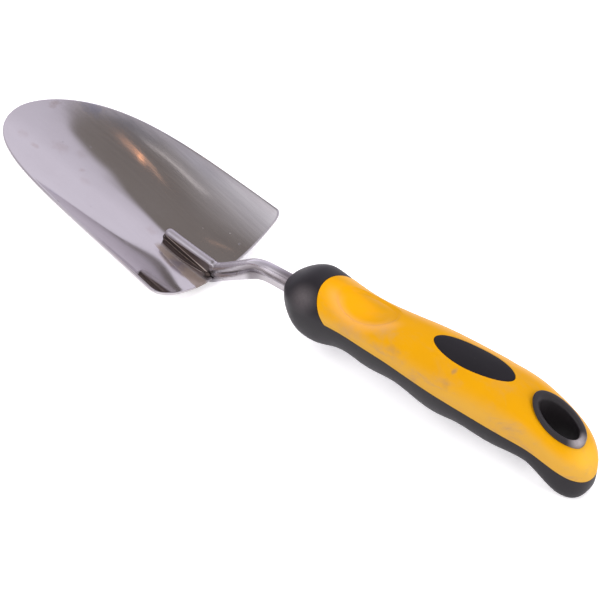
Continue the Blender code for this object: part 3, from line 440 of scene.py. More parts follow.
def steel_neck():
    m, nt, bsdf = new_material("neck_steel")
    q = Nodes(nt)
    co = q.coords()
    cloud = q.noise(co, 150.0, 3.0, 0.5)
    grain = q.noise(q.vmath("MULTIPLY", co, (220, 1500, 1500)), 1.0, 3.0)
    wob = q.math("MULTIPLY", q.math("SUBTRACT", q.noise(co, 600.0, 3.0), 0.5), 1.3)
    base = q.mix(q.span(cloud, 0.35, 0.70, 0.0, 0.5), (0.66, 0.63, 0.67), (0.57, 0.535, 0.58))
    # height over the bar's own middle line, in mm
    sep = q.new("ShaderNodeSeparateXYZ")
    q.link(q.new("ShaderNodeTexCoord").outputs["Object"], sep.inputs[0])
    x_mm = q.math("MULTIPLY_ADD", sep.outputs["X"], 1000.0, MID_X)
    z_mm = q.math("MULTIPLY_ADD", sep.outputs["Z"], 1000.0, FLOOR_Z)
    rib = q.span(x_mm, -0.6, -2.6)
    line = q.math("SMOOTH_MIN", q.math("MULTIPLY_ADD", x_mm, math.tan(math.radians(NECK_RISE) + TURN), 3.1), LEVEL_Z + 0.1, 3.0)
    hump = q.math("MULTIPLY", q.span(x_mm, 10.0, 22.0), q.span(x_mm, 34.0, 22.0))
    over = q.math("SUBTRACT", q.math("SUBTRACT", z_mm, line), q.math("MULTIPLY", hump, 1.0))
    near = q.span(sep.outputs["Y"], 0.0004, -0.0010)
    bar = q.span(x_mm, 1.0, 7.0)
    # painted highlight: the top of the bar is lightened
    crown = q.math("MULTIPLY", q.span(over, 2.2, 3.4), q.math("MULTIPLY", bar, q.span(x_mm, 30.0, 21.0)))
    base = q.mix(q.math("MULTIPLY", crown, q.span(x_mm, 8.0, 22.0, 0.35, 1.0)), base, (0.95, 0.92, 0.95))
    # painted shade: the lower half of the upper lobe, on the near side, is darkened
    upper_lobe_shade = q.math("MULTIPLY", q.math("MULTIPLY", q.span(over, 3.3, 1.4), q.span(over, -0.4, 0.5)), q.math("MULTIPLY", near, bar))
    base = q.mix(q.math("MULTIPLY", upper_lobe_shade, q.span(x_mm, 4.0, 30.0, 0.25, 0.85)), base, (0.19, 0.16, 0.165))
    shade = q.math("MULTIPLY", q.span(x_mm, 33.0, 45.0), q.span(over, -0.5, 1.0))
    base = q.mix(q.math("MULTIPLY", shade, 0.85), base, (0.22, 0.19, 0.205))
    # painted shade: the groove between the lobes is darkened on the near side
    crease_shade = q.math("MULTIPLY", q.math("MULTIPLY", q.span(q.math("ABSOLUTE", over), 0.9, 0.1), near), q.span(x_mm, 3.0, 6.0))
    base = q.mix(q.math("MULTIPLY", crease_shade, q.span(x_mm, 12.0, 20.0, 0.85, 0.55)), base, (0.12, 0.10, 0.10))
    # painted highlight: the lower lobe's upper part is lightened after the bend
    lower_lobe_highlight = q.math("MULTIPLY", q.math("MULTIPLY", q.span(over, -0.3, -0.9), q.span(over, -3.6, -2.0)), q.math("MULTIPLY", near, q.span(x_mm, 27.0, 34.0)))
    base = q.mix(q.math("MULTIPLY", lower_lobe_highlight, 0.75), base, (0.90, 0.87, 0.885))
    # painted light and shade on the lower lobe's lower half: slightly lighter towards the blade, darkest in the bend
    lower_lobe_shading = q.math("MULTIPLY", q.span(over, -0.3, -1.1), q.math("MULTIPLY", near, bar))
    base = q.mix(q.math("MULTIPLY", lower_lobe_shading, q.span(x_mm, 21.0, 33.0, 0.92, 0.70)), base, q.mix(q.span(x_mm, 19.0, 24.0), (0.66, 0.63, 0.66), q.mix(q.span(x_mm, 26.0, 32.0), (0.24, 0.22, 0.23), (0.40, 0.375, 0.39))))
    # painted brown shade on the rib's sides, down from a wavy line below its rounded top
    z_work = q.math("MULTIPLY_ADD", x_mm, -math.sin(TURN), z_mm)
    border = q.math("MULTIPLY_ADD", q.math("ADD", x_mm, 15.0), -0.125, 9.15)
    below = q.math("ADD", q.math("SUBTRACT", border, z_work), q.math("MULTIPLY", wob, 0.35))
    side = q.math("MULTIPLY", q.math("MULTIPLY", q.span(below, -0.25, 0.45), q.span(z_mm, -2.2, -0.6)), rib)
    shade_n = q.noise(q.vmath("MULTIPLY", co, (90, 90, 420)), 1.0, 3.0)
    rib_shade_col = q.mix(q.span(x_mm, -12.0, -3.0), (0.210, 0.155, 0.135), (0.36, 0.315, 0.31))
    base = q.mix(side, base, q.mix(shade_n, rib_shade_col, (0.150, 0.120, 0.110)))
    # painted shade darkens the rib's foot below the ledge, and a painted highlight runs along the ledge
    seam = q.math("SUBTRACT", z_work, q.math("MULTIPLY_ADD", x_mm, -0.3016, 1.76))
    foot = q.math("MULTIPLY", q.math("MULTIPLY", q.span(seam, 0.05, -0.25), q.span(z_mm, -2.2, -0.6)), rib)
    base = q.mix(foot, base, q.mix(shade_n, (0.080, 0.062, 0.058), (0.110, 0.082, 0.074)))
    glint = q.math("MULTIPLY", q.span(q.math("DIVIDE", q.math("ABSOLUTE", seam), q.span(x_mm, -14.0, -4.5, 0.20, 0.42)), 1.0, 0.3), rib)
    base = q.mix(q.math("MULTIPLY", glint, q.span(x_mm, -20.0, -5.0, 0.55, 1.0)), base, (0.88, 0.80, 0.72))
    mark = None
    for c, r, k in (
        ((-1.0, -0.7, 8.7), (1.2, 1.2, 1.0), 0.60), ((0.7, -1.5, 8.0), (0.9, 0.9, 0.8), 0.5), ((13.6, -2.0, 10.8), (1.2, 1.0, 0.9), 0.55),
        ((15.8, -2.0, 12.0), (0.7, 0.8, 0.7), 0.5), ((6.5, -2.2, 3.6), (1.0, 1.0, 0.7), 0.30), ((-2.4, -2.0, 0.8), (3.4, 2.6, 2.6), 0.95),
    ):
        one = q.math("MULTIPLY", q.spot(c, r, 0.9, wob), k)
        mark = one if mark is None else q.math("MAXIMUM", mark, one)
    base = q.mix(mark, base, (0.11, 0.09, 0.085))
    q.link(base, bsdf.inputs["Base Color"])
    bsdf.inputs["Metallic"].default_value = 1.0
    rough = q.math("MULTIPLY_ADD", cloud, 0.06, 0.17)
    rough = q.math("MULTIPLY_ADD", grain, 0.04, rough)
    rough = q.math("MULTIPLY_ADD", mark, 0.25, rough)
    rough = q.math("MULTIPLY_ADD", upper_lobe_shade, 0.10, rough)
    rough = q.math("MULTIPLY_ADD", rib, 0.15, rough)
    q.link(rough, bsdf.inputs["Roughness"])
    b = q.bump(grain, 0.12, 0.00002)
    b = q.bump(cloud, 0.15, 0.00012, b)
    b = q.bump(q.math("MULTIPLY", mark, -1.0), 0.4, 0.0003, b)
    q.link(b, bsdf.inputs["Normal"])
    return m


def weld_metal():
    m, nt, bsdf = new_material("weld_metal")
    q = Nodes(nt)
    co = q.coords()
    n = q.noise(co, 700.0, 4.0, 0.6)
    base = q.ramp(n, (0.3, (0.16, 0.12, 0.10)), (0.55, (0.11, 0.085, 0.075)), (0.75, (0.07, 0.055, 0.05)))
    rear = q.spot((-1.5, 0.0, 2.5), (5.5, 6.0, 6.0), 0.8)
    base = q.mix(q.math("MULTIPLY", rear, 0.8), base, (0.12, 0.095, 0.085))
    q.link(base, bsdf.inputs["Base Color"])
    bsdf.inputs["Metallic"].default_value = 1.0
    q.link(q.math("MULTIPLY_ADD", n, 0.25, 0.20), bsdf.inputs["Roughness"])
    q.link(q.bump(q.noise(co, 1600.0, 3.0), 0.5, 0.0001), bsdf.inputs["Normal"])
    return m


def yellow_plastic():
    m, nt, bsdf = new_material("yellow_moulding")
    q = Nodes(nt)
    co = q.coords()
    cloud = q.noise(co, 34.0, 5.0, 0.6)
    dirt = q.noise(q.vmath("MULTIPLY", co, (0.6, 1, 1)), 120.0, 6.0, 0.7, 0.6)
    grain = q.noise(co, 2600.0, 3.0, 0.6)
    base = q.mix(q.span(cloud, 0.35, 0.75), (0.655, 0.304, 0.000), (0.605, 0.280, 0.003))
    # the thumb rest: less grime there, and painted light making it brighter and more saturated
    clean_and_lit = q.spot((78.0, -2.0, 30.0), (19.0, 10.0, 9.0), 0.6)
    base = q.mix(clean_and_lit, base, (0.80, 0.345, 0.0))
    # painted light: the butt end is lightened
    lit_butt = q.spot((194.0, 0.0, 12.0), (16.0, 15.0, 14.0), 0.9)
    base = q.mix(q.math("MULTIPLY", lit_butt, 0.8), base, (0.86, 0.485, 0.050))
    sep = q.new("ShaderNodeSeparateXYZ")
    q.link(q.new("ShaderNodeTexCoord").outputs["Object"], sep.inputs[0])
    geo = q.new("ShaderNodeNewGeometry")
    nz = q.new("ShaderNodeSeparateXYZ")
    q.link(geo.outputs["Normal"], nz.inputs[0])
    # painted sheen: the near flank, turned to the side, is paler
    flank_sheen = q.span(nz.outputs["Z"], 0.80, 0.12, 0.0, 1.0)
    flank_sheen = q.math("MULTIPLY", flank_sheen, q.span(nz.outputs["Y"], 0.3, -0.3))
    base = q.mix(q.math("MULTIPLY", flank_sheen, 0.80), base, (0.625, 0.350, 0.060))
    # painted sheen: surfaces turned to the far side are paler along the grazing edge
    edge = q.span(nz.outputs["Y"], 0.10, 0.60)
    base = q.mix(q.math("MULTIPLY", edge, 0.8), base, (0.84, 0.47, 0.14))
    grime = q.math("MULTIPLY", q.span(dirt, 0.46, 0.76), q.math("MULTIPLY_ADD", flank_sheen, 0.50, 0.22))
    grime = q.math("MULTIPLY", grime, q.math("SUBTRACT", 1.0, q.math("MULTIPLY", clean_and_lit, 0.8)))
    base = q.mix(grime, base, (0.40, 0.245, 0.125))
    # worn-in dirt behind the thumb rest
    wob = q.math("MULTIPLY", q.math("SUBTRACT", q.noise(co, 420.0, 3.0), 0.5), 1.2)
    wear_and_highlight = q.math("MAXIMUM", q.spot((101.0, -7.5, 29.0), (9.0, 5.0, 6.0), 1.0, wob), q.spot((88.0, -12.5, 25.0), (12.0, 3.0, 5.0), 1.0, wob))
    base = q.mix(q.math("MULTIPLY", wear_and_highlight, 0.32), base, (0.36, 0.245, 0.155))
    # painted pale highlight round the lower side of the thumb rest
    rim_x = q.math("MULTIPLY_ADD", sep.outputs["X"], 1000.0 / THUMB_A, (MID_X - THUMB_X) / THUMB_A)
    rim_y = q.math("MULTIPLY", sep.outputs["Y"], 1000.0 / THUMB_B)
    rim_r = q.math("SQRT", q.math("ADD", q.math("MULTIPLY", rim_x, rim_x), q.math("MULTIPLY", rim_y, rim_y)))
    rim = q.math("MULTIPLY", q.span(rim_r, 0.60, 0.96), q.span(rim_r, 1.40, 0.98))
    rim = q.math("MULTIPLY", rim, q.math("MULTIPLY", q.span(rim_y, 0.15, -0.55), q.span(nz.outputs["Z"], 0.2, 0.6)))
    base = q.mix(q.math("MULTIPLY", rim, 0.60), base, (0.74, 0.37, 0.10))
    smudge = q.math("MAXIMUM", q.math("MULTIPLY", q.spot((136.4, -9.2, 29.6), (1.5, 2.0, 3.0), 1.0, wob), 0.55),
                    q.math("MULTIPLY", q.spot((136.0, -13.6, 25.0), (2.6, 2.0, 4.0), 1.0, wob), 0.26))
    smudge = q.math("MAXIMUM", smudge, q.math("MULTIPLY", q.spot((109.3, -12.0, 26.3), (5.5, 2.6, 3.0), 1.0, wob), 0.22))
    base = q.mix(smudge, base, (0.20, 0.15, 0.12))
    q.link(base, bsdf.inputs["Base Color"])
    q.link(q.math("MULTIPLY_ADD", cloud, 0.12, 0.50), bsdf.inputs["Roughness"])
    bsdf.inputs["Specular IOR Level"].default_value = 0.07
    b = q.bump(grain, 0.10, 0.00003)
    b = q.bump(q.noise(co, 160.0, 3.0), 0.12, 0.0002, b)
    q.link(b, bsdf.inputs["Normal"])
    return m


def black_rubber(name, base_a, base_b, rough_a, rough_b, level, scratches, wear_and_highlight=()):
    m, nt, bsdf = new_material(name)
    q = Nodes(nt)
    co = q.coords()
    cloud = q.noise(co, 60.0, 5.0, 0.6)
    grain = q.noise(co, 3200.0, 3.0, 0.7)
    base = q.mix(q.span(cloud, 0.3, 0.7), base_a, base_b)
    dust = q.span(q.noise(co, 520.0, 5.0, 0.75), 0.62, 0.80)
    base = q.mix(q.math("MULTIPLY", dust, 0.08), base, (0.16, 0.145, 0.14))
    # listed lighter spots: painted highlights, speckled
    for centre, radii, k, col in wear_and_highlight:
        speck = q.math("MULTIPLY_ADD", q.noise(co, 900.0, 4.0, 0.7), 0.8, 0.6)
        base = q.mix(q.math("MULTIPLY", q.math("MULTIPLY", q.spot(centre, radii, 1.0), k), speck, clamp=True), base, col)
    rough = q.span(cloud, 0.3, 0.7, rough_a, rough_b)
    b = q.bump(grain, 0.22, 0.00004)
    if scratches:
        line = None
        # hairline scratches: thin planes through chosen places, faded along their length
        for centre, direction, half, width, k in scratches:
            c = place(np.array(centre, float))
            d = np.array(direction, float)
            d /= np.linalg.norm(d)
            tc = q.new("ShaderNodeTexCoord").outputs["Object"]
            v = q.vmath("SUBTRACT", tc, tuple(float(x) for x in c))
            alongv = q.vmath("DOT_PRODUCT", v, tuple(float(x) for x in d))
            size = q.vmath("LENGTH", v)
            off = q.math("SQRT", q.math("MAXIMUM", q.math("SUBTRACT", q.math("MULTIPLY", size, size), q.math("MULTIPLY", alongv, alongv)), 0.0))
            one = q.math("MULTIPLY", q.span(off, width / 1000, 0.0), q.span(q.math("ABSOLUTE", alongv), half / 1000, half / 1600))
            one = q.math("MULTIPLY", one, k)
            line = one if line is None else q.math("MAXIMUM", line, one)
        base = q.mix(line, base, (0.36, 0.32, 0.31))
        b = q.bump(q.math("MULTIPLY", line, -1.0), 0.3, 0.0001, b)
    q.link(base, bsdf.inputs["Base Color"])
    q.link(rough, bsdf.inputs["Roughness"])
    bsdf.inputs["Specular IOR Level"].default_value = level
    b = q.bump(q.noise(co, 220.0, 3.0), 0.10, 0.0002, b)
    q.link(b, bsdf.inputs["Normal"])
    return m


def core_plastic():
    m, nt, bsdf = new_material("core_plastic")
    q = Nodes(nt)
    n = q.noise(q.coords(), 90.0, 4.0)
    q.link(q.mix(n, (0.07, 0.07, 0.075), (0.10, 0.10, 0.105)), bsdf.inputs["Base Color"])
    q.link(q.math("MULTIPLY_ADD", n, 0.15, 0.45), bsdf.inputs["Roughness"])
    q.link(q.bump(q.noise(q.coords(), 1500.0), 0.2, 0.00005), bsdf.inputs["Normal"])
    return m


# ---------------------------------------------------------------------------------------------- blade
def blade_half_width(s):
    u = np.clip(s / BLADE_LENGTH, 0, 1)
    w = BLADE_WIDTH / 2 * (1 - BLADE_TAPER * u) * np.sqrt(np.clip(1 - u ** BLADE_NOSE, 0, 1))
    d = np.clip(CORNER_R - s, 0, CORNER_R)
    return w - (CORNER_R - np.sqrt(np.clip(CORNER_R ** 2 - d ** 2, 0, None)))


def sheet_z(x, y, off):
    """Height of the sheet's face at x and y: off 0 is the underside, BLADE_SHEET the inner face."""
    s = np.linspace(-3, 62, 900)
    p = blade_point(s, np.full(900, float(y)), off)
    return float(np.interp(x, p[::-1, 0], p[::-1, 2]))


def keel_top(x):
    return sheet_z(x, 0.0, BLADE_SHEET)


def dents(s, y):
    """Small unevenness of the pressed sheet, in mm."""
    p = np.stack([s, y * 0.8, np.zeros_like(s)], -1)
    a = value_noise(p, 46.0, 3) * 0.050 + value_noise(p, 19.0, 8) * 0.010
    edge = smooth(0.0, 6.0, s) * smooth(BLADE_LENGTH, BLADE_LENGTH - 8, s)
    return a * edge


def build_blade(material):
    rows, cols = 190, 150
    phi = np.linspace(0, 1, rows + 1)[:-1]
    s0 = BLADE_LENGTH * np.sin(phi * math.pi / 2) ** 0.883
    s0 = np.unique(np.concatenate([np.linspace(0, 4.2, 12), s0[s0 > 4.4]]))
    a = np.linspace(-1, 1, cols + 1)
    a = np.sign(a) * np.abs(a) ** 0.95
    rim = 0.42

    def plan(inset):
        lift = inset * smooth(8, 0, s0)
        s1 = s0 * (1 - inset / BLADE_LENGTH * smooth(90, BLADE_LENGTH, s0)) + lift
        h = 0.05
        hw = blade_half_width(s0)
        slope = (blade_half_width(s0 + h) - blade_half_width(np.maximum(s0 - h, 0))) / (2 * h)
        w = np.maximum(hw - inset * np.minimum(np.sqrt(1 + slope ** 2), 2.2) * smooth(-0.5, 1.2, s0 + 0.4), 0.02)
        y = w[:, None] * a[None, :]
        fade = np.clip(1 - s0 / 40, 0, 1)[:, None] ** 2
        s = s1[:, None] + REAR_BOW * (2 * y / BLADE_WIDTH) ** 2 * fade
        return s, y, BLADE_LENGTH - inset

    si, yi, tip_i = plan(rim)
    so, yo, tip_o = plan(0.0)
    nr, nc = si.shape
    points, faces = [], []

    def sheet(off, s, y, tip):
        d = dents(s, y)
        pts = blade_point(s, y, off + d).reshape(-1, 3)
        base = sum(len(p) for p in points)
        points.append(np.vstack([pts, blade_point(tip, 0.0, off).reshape(1, 3)]))
        return base

    top = sheet(BLADE_SHEET, si, yi, tip_i)
    low = sheet(0.0, si, yi, tip_i)

    def skin(b, flip):
        for i in range(nr - 1):
            for j in range(nc - 1):
                f = (b + i * nc + j, b + i * nc + j + 1, b + (i + 1) * nc + j + 1, b + (i + 1) * nc + j)
                faces.append(f[::-1] if flip else f)
        for j in range(nc - 1):
            f = (b + (nr - 1) * nc + j, b + (nr - 1) * nc + j + 1, b + nr * nc)
            faces.append(f[::-1] if flip else f)

    skin(top, False)
    skin(low, True)
    border = [(0, j) for j in range(nc)] + [(i, nc - 1) for i in range(1, nr)] + [None] + [(i, 0) for i in range(nr - 1, 0, -1)]

    def index(b, k):
        return b + nr * nc if k is None else b + k[0] * nc + k[1]

    ring_i = np.array([(tip_i, 0.0) if k is None else (si[k], yi[k]) for k in border])
    ring_o = np.array([(tip_o, 0.0) if k is None else (so[k], yo[k]) for k in border])
    loops = [[index(top, k) for k in border]]
    steps = 6
    for k in range(1, steps):
        ang = math.pi * k / steps
        w = math.sin(ang) ** 0.75
        off = BLADE_SHEET * (0.5 + 0.5 * math.copysign(abs(math.cos(ang)) ** 0.8, math.cos(ang)))
        sy = ring_i + (ring_o - ring_i) * w
        base = sum(len(p) for p in points)
        points.append(blade_point(sy[:, 0], sy[:, 1], off))
        loops.append(list(range(base, base + len(border))))
    loops.append([index(low, k) for k in border])
    for x, y in zip(loops, loops[1:]):
        n = len(border)
        for j in range(n):
            k = (j + 1) % n
            faces.append((x[j], x[k], y[k], y[j]))
    ob = make_object("scoop_blade", np.vstack(points), faces, material)
    w, d = NOTCH_WIDTH / 2, NOTCH_DEPTH
    plan_pts = [(4.0, -w), (4.0, w)] + [(-(d - w) - w * math.sin(t), w * math.cos(t)) for t in np.linspace(0, math.pi, 33)]
    tool = make_object("slot_tool", *loft([[(x, y, z) for x, y in plan_pts] for z in (-6.0, 12.0)]), None)
    boolean(ob, tool)
    finish_modifiers(ob, 50)
    drop(tool)
    return ob


# ----------------------------------------------------------------------------------------------- neck
NECK_SLOPE = math.radians(NECK_RISE)
SLOPE_UP = (-math.sin(NECK_SLOPE), math.cos(NECK_SLOPE))


def slope_line(x):
    return 3.1 + x * math.tan(NECK_SLOPE)


def mirror_side(side):
    side = np.array(side)
    return np.vstack([side, side[1:-1][::-1] * np.array([1, -1, 1])])


def lobe_ring(top, up, depth, r, groove, half=44, shift=0.0):
    mid = depth / 2
    close = math.pi - math.asin(min(1.0, groove / r))
    reach = r * (1 - math.cos(close))
    side = []
    for i in range(half + 1):
        k = i / half
        turn = k / 0.5 if k <= 0.5 else (1 - k) / 0.5
        a = turn * close
        u, w = r * (1 - math.cos(a)), r * math.sin(a)
        if u > r:
            u = r + (u - r) * (mid - r) / (reach - r)
        if k > 0.5:
            u = depth - u
        u -= shift * math.sin(math.pi * u / depth)
        side.append((top[0] - up[0] * u, w, top[1] - up[1] * u))
    return mirror_side(side)


def rib_ring(foot, up, height, r, half=48):
    """The bar on the blade: a rounded top, flat sides and a slightly wider foot on the sheet."""
    rt = min(r, height * 0.45)
    foot_h = (1.76 - 0.3016 * foot[0] - foot[1]) / (up[1] + 0.3016 * up[0])
    side = []
    for i in range(half + 1):
        k = i / half
        if k <= 0.30:
            t = k / 0.30 * math.pi / 2
            u, w = rt * (1 - math.cos(t)), r * math.sin(t)
        elif k < 0.95:
            u = rt + (height - rt) * (k - 0.30) / (0.95 - 0.30)
            w = r * (1 - 0.13 * float(smooth(foot_h - 0.15, foot_h + 0.25, height - u)) * float(smooth(rt, rt + 0.9, u)))
        else:
            u, w = height, r * (1 - (k - 0.95) / 0.05)
        side.append((foot[0] + up[0] * (height - min(u, height)), w, foot[1] + up[1] * (height - min(u, height))))
    return mirror_side(side)


def rib_height(d):
    end = math.sqrt(max(0.0, 1 - max(0.0, 1 - d / 2.05) ** 2))
    drop = float(channel(-(TONGUE_TIP + d) / math.cos(TILT)))
    return (2.1 + 3.0 * (d / 30.0) ** 1.5 + 2.1 * (d / 30.0) ** 0.9 + drop) * (0.55 + 0.45 * end), 2.05 * end


def tongue_rings():
    rings = []
    ds = [0.02, 0.10, 0.25, 0.45, 0.7, 1.0, 1.35, 1.7, 2.05] + list(np.linspace(3.0, 29.8, 28))
    for d in ds:
        x = TONGUE_TIP + d
        height, r = rib_height(d)
        rings.append(rib_ring((x, keel_top(x) + 0.12), (math.sin(TILT), math.cos(TILT)), height, r))
    for x, r, a, height in ((0.2, 1.8, 0.10, 6.7), (1.6, 1.5, 0.0, 6.4), (3.0, 1.1, 0.0, 6.2)):
        rings.append(rib_ring((x, 1.75 + 0.62 * x), (math.sin(a), math.cos(a)), height, r))
    return rings


def lobe_end_rings():
    along = np.array([math.cos(NECK_SLOPE), 0, math.sin(NECK_SLOPE)])
    up = np.array([SLOPE_UP[0], 0, SLOPE_UP[1]])
    centre = np.array([-3.34, 0, -1.46])
    turn = np.linspace(0, 2 * math.pi, 48, endpoint=False)
    rings = []
    for a in (-0.97, -0.85, -0.7, -0.52, -0.35, -0.17, 0.0):
        r = 2.06 * math.cos(a * math.pi / 2)
        c = centre + along * 2.06 * math.sin(a * math.pi / 2)
        rings.append(c + r * (np.cos(turn)[:, None] * up + np.sin(turn)[:, None] * np.array([0, 1, 0])))
    for d, r in ((1.5, 2.06), (3.0, 2.04), (5.4, 2.0), (7.6, 1.6)):
        rings.append(centre + along * d + r * (np.cos(turn)[:, None] * up + np.sin(turn)[:, None] * np.array([0, 1, 0])))
    return rings


def bar_rings():
    pts = [(x, slope_line(x), NECK_SLOPE) for x in np.linspace(-1.1, 16.0, 12)]
    radius = 24.0
    tangent = radius * math.tan(NECK_SLOPE / 2)
    bend_x = (LEVEL_Z - 3.1) / math.tan(NECK_SLOPE)
    for f in np.linspace(0, 1, 24):
        a = NECK_SLOPE * (1 - f)
        pts.append((bend_x + tangent - radius * math.sin(a), LEVEL_Z - radius + radius * math.cos(a), a))
    for x in (38.0, 42.0, 46.0, 54.0, 62.0, 79.0, 81.0, 84.0, 86.0, 99.0, 101.5, 103.2, NECK_END):
        pts.append((x, LEVEL_Z, 0.0))
    rings = []
    for x, z, a in pts:
        f = float(smooth(4.0, 36.0, x))
        r, depth, groove = 1.95 + 0.45 * f, 8.4 + 1.4 * f, 1.0 + 0.5 * f
        blunt = 1 - 0.16 * float(smooth(101.0, NECK_END, x)) ** 2
        up = (-math.sin(a), math.cos(a))
        top = (x + up[0] * depth * blunt / 2, z + up[1] * depth * blunt / 2)
        one = lobe_ring(top, up, depth * blunt, r * blunt, groove, shift=1.0 * math.exp(-((x - 22.0) / 6.5) ** 2))
        if 80.0 < x < 85.0:
            one[:, 1] *= 1.5
        rings.append(one)
    return rings


def build_neck(material):
    ob = make_object("cranked_neck", *loft(bar_rings()), material)
    rib = make_object("rib_tool", *loft(tongue_rings()), None)
    lobe = make_object("lobe_tool", *loft(lobe_end_rings()), None)
    boolean(ob, rib, "UNION")
    boolean(ob, lobe, "UNION")
    finish_modifiers(ob)
    drop(rib, lobe)
    mod = ob.modifiers.new("Remesh", "REMESH")
    mod.mode, mod.voxel_size, mod.use_smooth_shade = "VOXEL", 0.00021, True
    sm = ob.modifiers.new("Smooth", "SMOOTH")
    sm.factor, sm.iterations = 0.5, 7
    finish_modifiers(ob)
    me = ob.data
    co = np.zeros(len(me.vertices) * 3)
    me.vertices.foreach_get("co", co)
    co = co.reshape(-1, 3)
    # the joint was hammered and ground: a few small pinches, in the row frame
    for centre, radius, depth in (((-0.4, -0.6, 8.6), 1.3, 0.16), ((0.6, 0.5, 8.8), 1.0, -0.10), ((-1.6, -1.2, 8.3), 0.8, 0.14),
                                  ((13.9, -2.0, 11.0), 0.9, 0.16), ((14.9, -1.6, 11.6), 0.7, -0.10), ((-3.8, -1.9, -0.8), 1.0, 0.22)):
        c = place(np.array(centre))
        d = np.linalg.norm(co - c, axis=1) / (radius / 1000)
        k = np.exp(-d ** 2 * 1.6)
        axis = np.array([0.0, 1.0 if centre[1] < 0 else -1.0, -0.6])
        co += (k * depth / 1000)[:, None] * axis
    co[:, 2] = np.maximum(co[:, 2], 0.0)
    me.vertices.foreach_set("co", co.ravel())
    me.update()
    me.shade_smooth()
    return ob


def build_weld(material):
    w = 2.05 + 0.09
    nose = TONGUE_TIP + 2.0
    run = [-1.2, -1.5, -1.9, -2.3, -2.8, -3.4, -4.2, -5.4] + list(np.linspace(-7.0, nose, 40))
    path = [(x, w, (0.0, 1.0)) for x in run]
    for a in np.linspace(0, math.pi, 33)[1:-1]:
        path.append((nose - 2.14 * math.sin(a), w * math.cos(a), (-math.sin(a), math.cos(a))))
    path += [(x, -w, (0.0, -1.0)) for x in run[::-1]]
    up = np.array([math.sin(TILT), 0, math.cos(TILT)])
    rings = []
    for i, (x, y, d) in enumerate(path):
        p = np.array([x, y, sheet_z(x, y, BLADE_SHEET) + 0.14])
        side = np.array([d[0] * math.cos(TILT), d[1], -d[0] * math.sin(TILT)])
        lump = math.exp(-((x + 2.6) / 1.5) ** 2)
        ripple = 1 + 0.10 * math.sin(i * 1.3) + 0.07 * math.sin(i * 2.7 + 1)
        r = (0.42 + 0.75 * lump) * (0.5 if x > -1.5 else 1.0) * ripple
        ring = [p]
        for k in range(7):
            t = math.pi / 2 * k / 6
            ring.append(p + (side * math.cos(t) + up * math.sin(t)) * r * (1 - 0.20 * math.sin(2 * t)))
        rings.append(np.array(ring))
    return make_object("weld_bead", *loft(rings), material, 60)


# --------------------------------------------------------------------------------------------- handle
HX = [row[0] for row in HANDLE]


def handle_profile(x, inset=0.0):
    x = np.asarray(x, float)
    end = HANDLE_END - inset
    waist = spline([p[0] for p in WAIST], [p[1] for p in WAIST], np.minimum(x, HANDLE_END))
    front = np.sqrt(np.clip(1 - np.clip((BULB_X - x) / (BULB_LENGTH - inset), 0, 1) ** 2, 0, 1))
    top = spline(HX, [r[1] for r in HANDLE], x) - inset
    bottom = spline(HX, [r[2] for r in HANDLE], x) + inset
    width = spline(HX, [r[3] for r in HANDLE], x) - inset
    top = waist + (top - waist) * front * rounding(x, 172.0, end, 2.2)
    bottom = waist - (waist - bottom) * front * rounding(x, 179.0, end, 2.4)
    width = width * front * rounding(x, 176.0, end, 2.2)
    return waist, top, bottom, width


def top_power(x):
    return 2.25 + 1.35 * np.clip((np.asarray(x, float) - 150) / 25, 0, 1)


def low_power(x):
    return 2.3 + 1.0 * np.clip((np.asarray(x, float) - 172) / 13, 0, 1)


def half_section(x, count, upper, inset=0.0):
    waist, top, bottom, width = (float(v) for v in handle_profile(x, inset))
    power = float(top_power(x)) if upper else float(low_power(x))
    th = np.linspace(0, math.pi, 721)
    c, s = np.cos(th), np.sin(th)
    y = width * np.sign(c) * np.abs(c) ** (2 / power)
    h = (top - waist) if upper else (waist - bottom)
    z = h * np.abs(s) ** (2 / power)
    if not upper:
        y = -y
    d = np.concatenate([[0], np.cumsum(np.hypot(np.diff(y), np.diff(z)))])
    if d[-1] < 1e-9:
        return np.tile([x, 0.0, waist], (count + 1, 1))
    k = np.linspace(0, d[-1], count + 1)
    y, z = np.interp(k, d, y), np.interp(k, d, z)
    return np.stack([np.full_like(y, x), y, waist + z if upper else waist - z], -1)


def skin_z(x, y, inset=0.0):
    waist, top, _, width = handle_profile(x, inset)
    m = top_power(x)
    u = np.minimum(np.abs(y) / width, 0.9999)
    return waist + (top - waist) * (1 - u ** m) ** (1 / m)


def under_z(x, y):
    waist, _, bottom, width = handle_profile(x)
    m = low_power(x)
    u = np.minimum(np.abs(y) / width, 0.9999)
    return np.maximum(waist - (waist - bottom) * (1 - u ** m) ** (1 / m), table_z(x))


def dish(p):
    p = p.copy()
    rho = np.sqrt(((p[..., 0] - THUMB_X) / THUMB_A) ** 2 + (p[..., 1] / THUMB_B) ** 2)
    k = smooth(1.0, 0.84, rho)
    p[..., 2] -= THUMB_DEPTH * (0.62 * k + 0.38 * np.clip(1 - rho ** 2, 0, 1))
    return p


def shell_front(phi):
    return SHELL_FRONT + (SHELL_SIDE - SHELL_FRONT) * abs(phi) ** 1.9


TOP_COLS, LOW_COLS = 96, 72


def row_params(count, first, last, turns=40):
    span = last - first
    split = 1 - 20.0 / span
    rear = [math.sin(a) for a in np.linspace(0, math.pi / 2, turns)][1:]
    return np.array(list(np.linspace(0, split, count)) + [split + (1 - split) * r for r in rear])


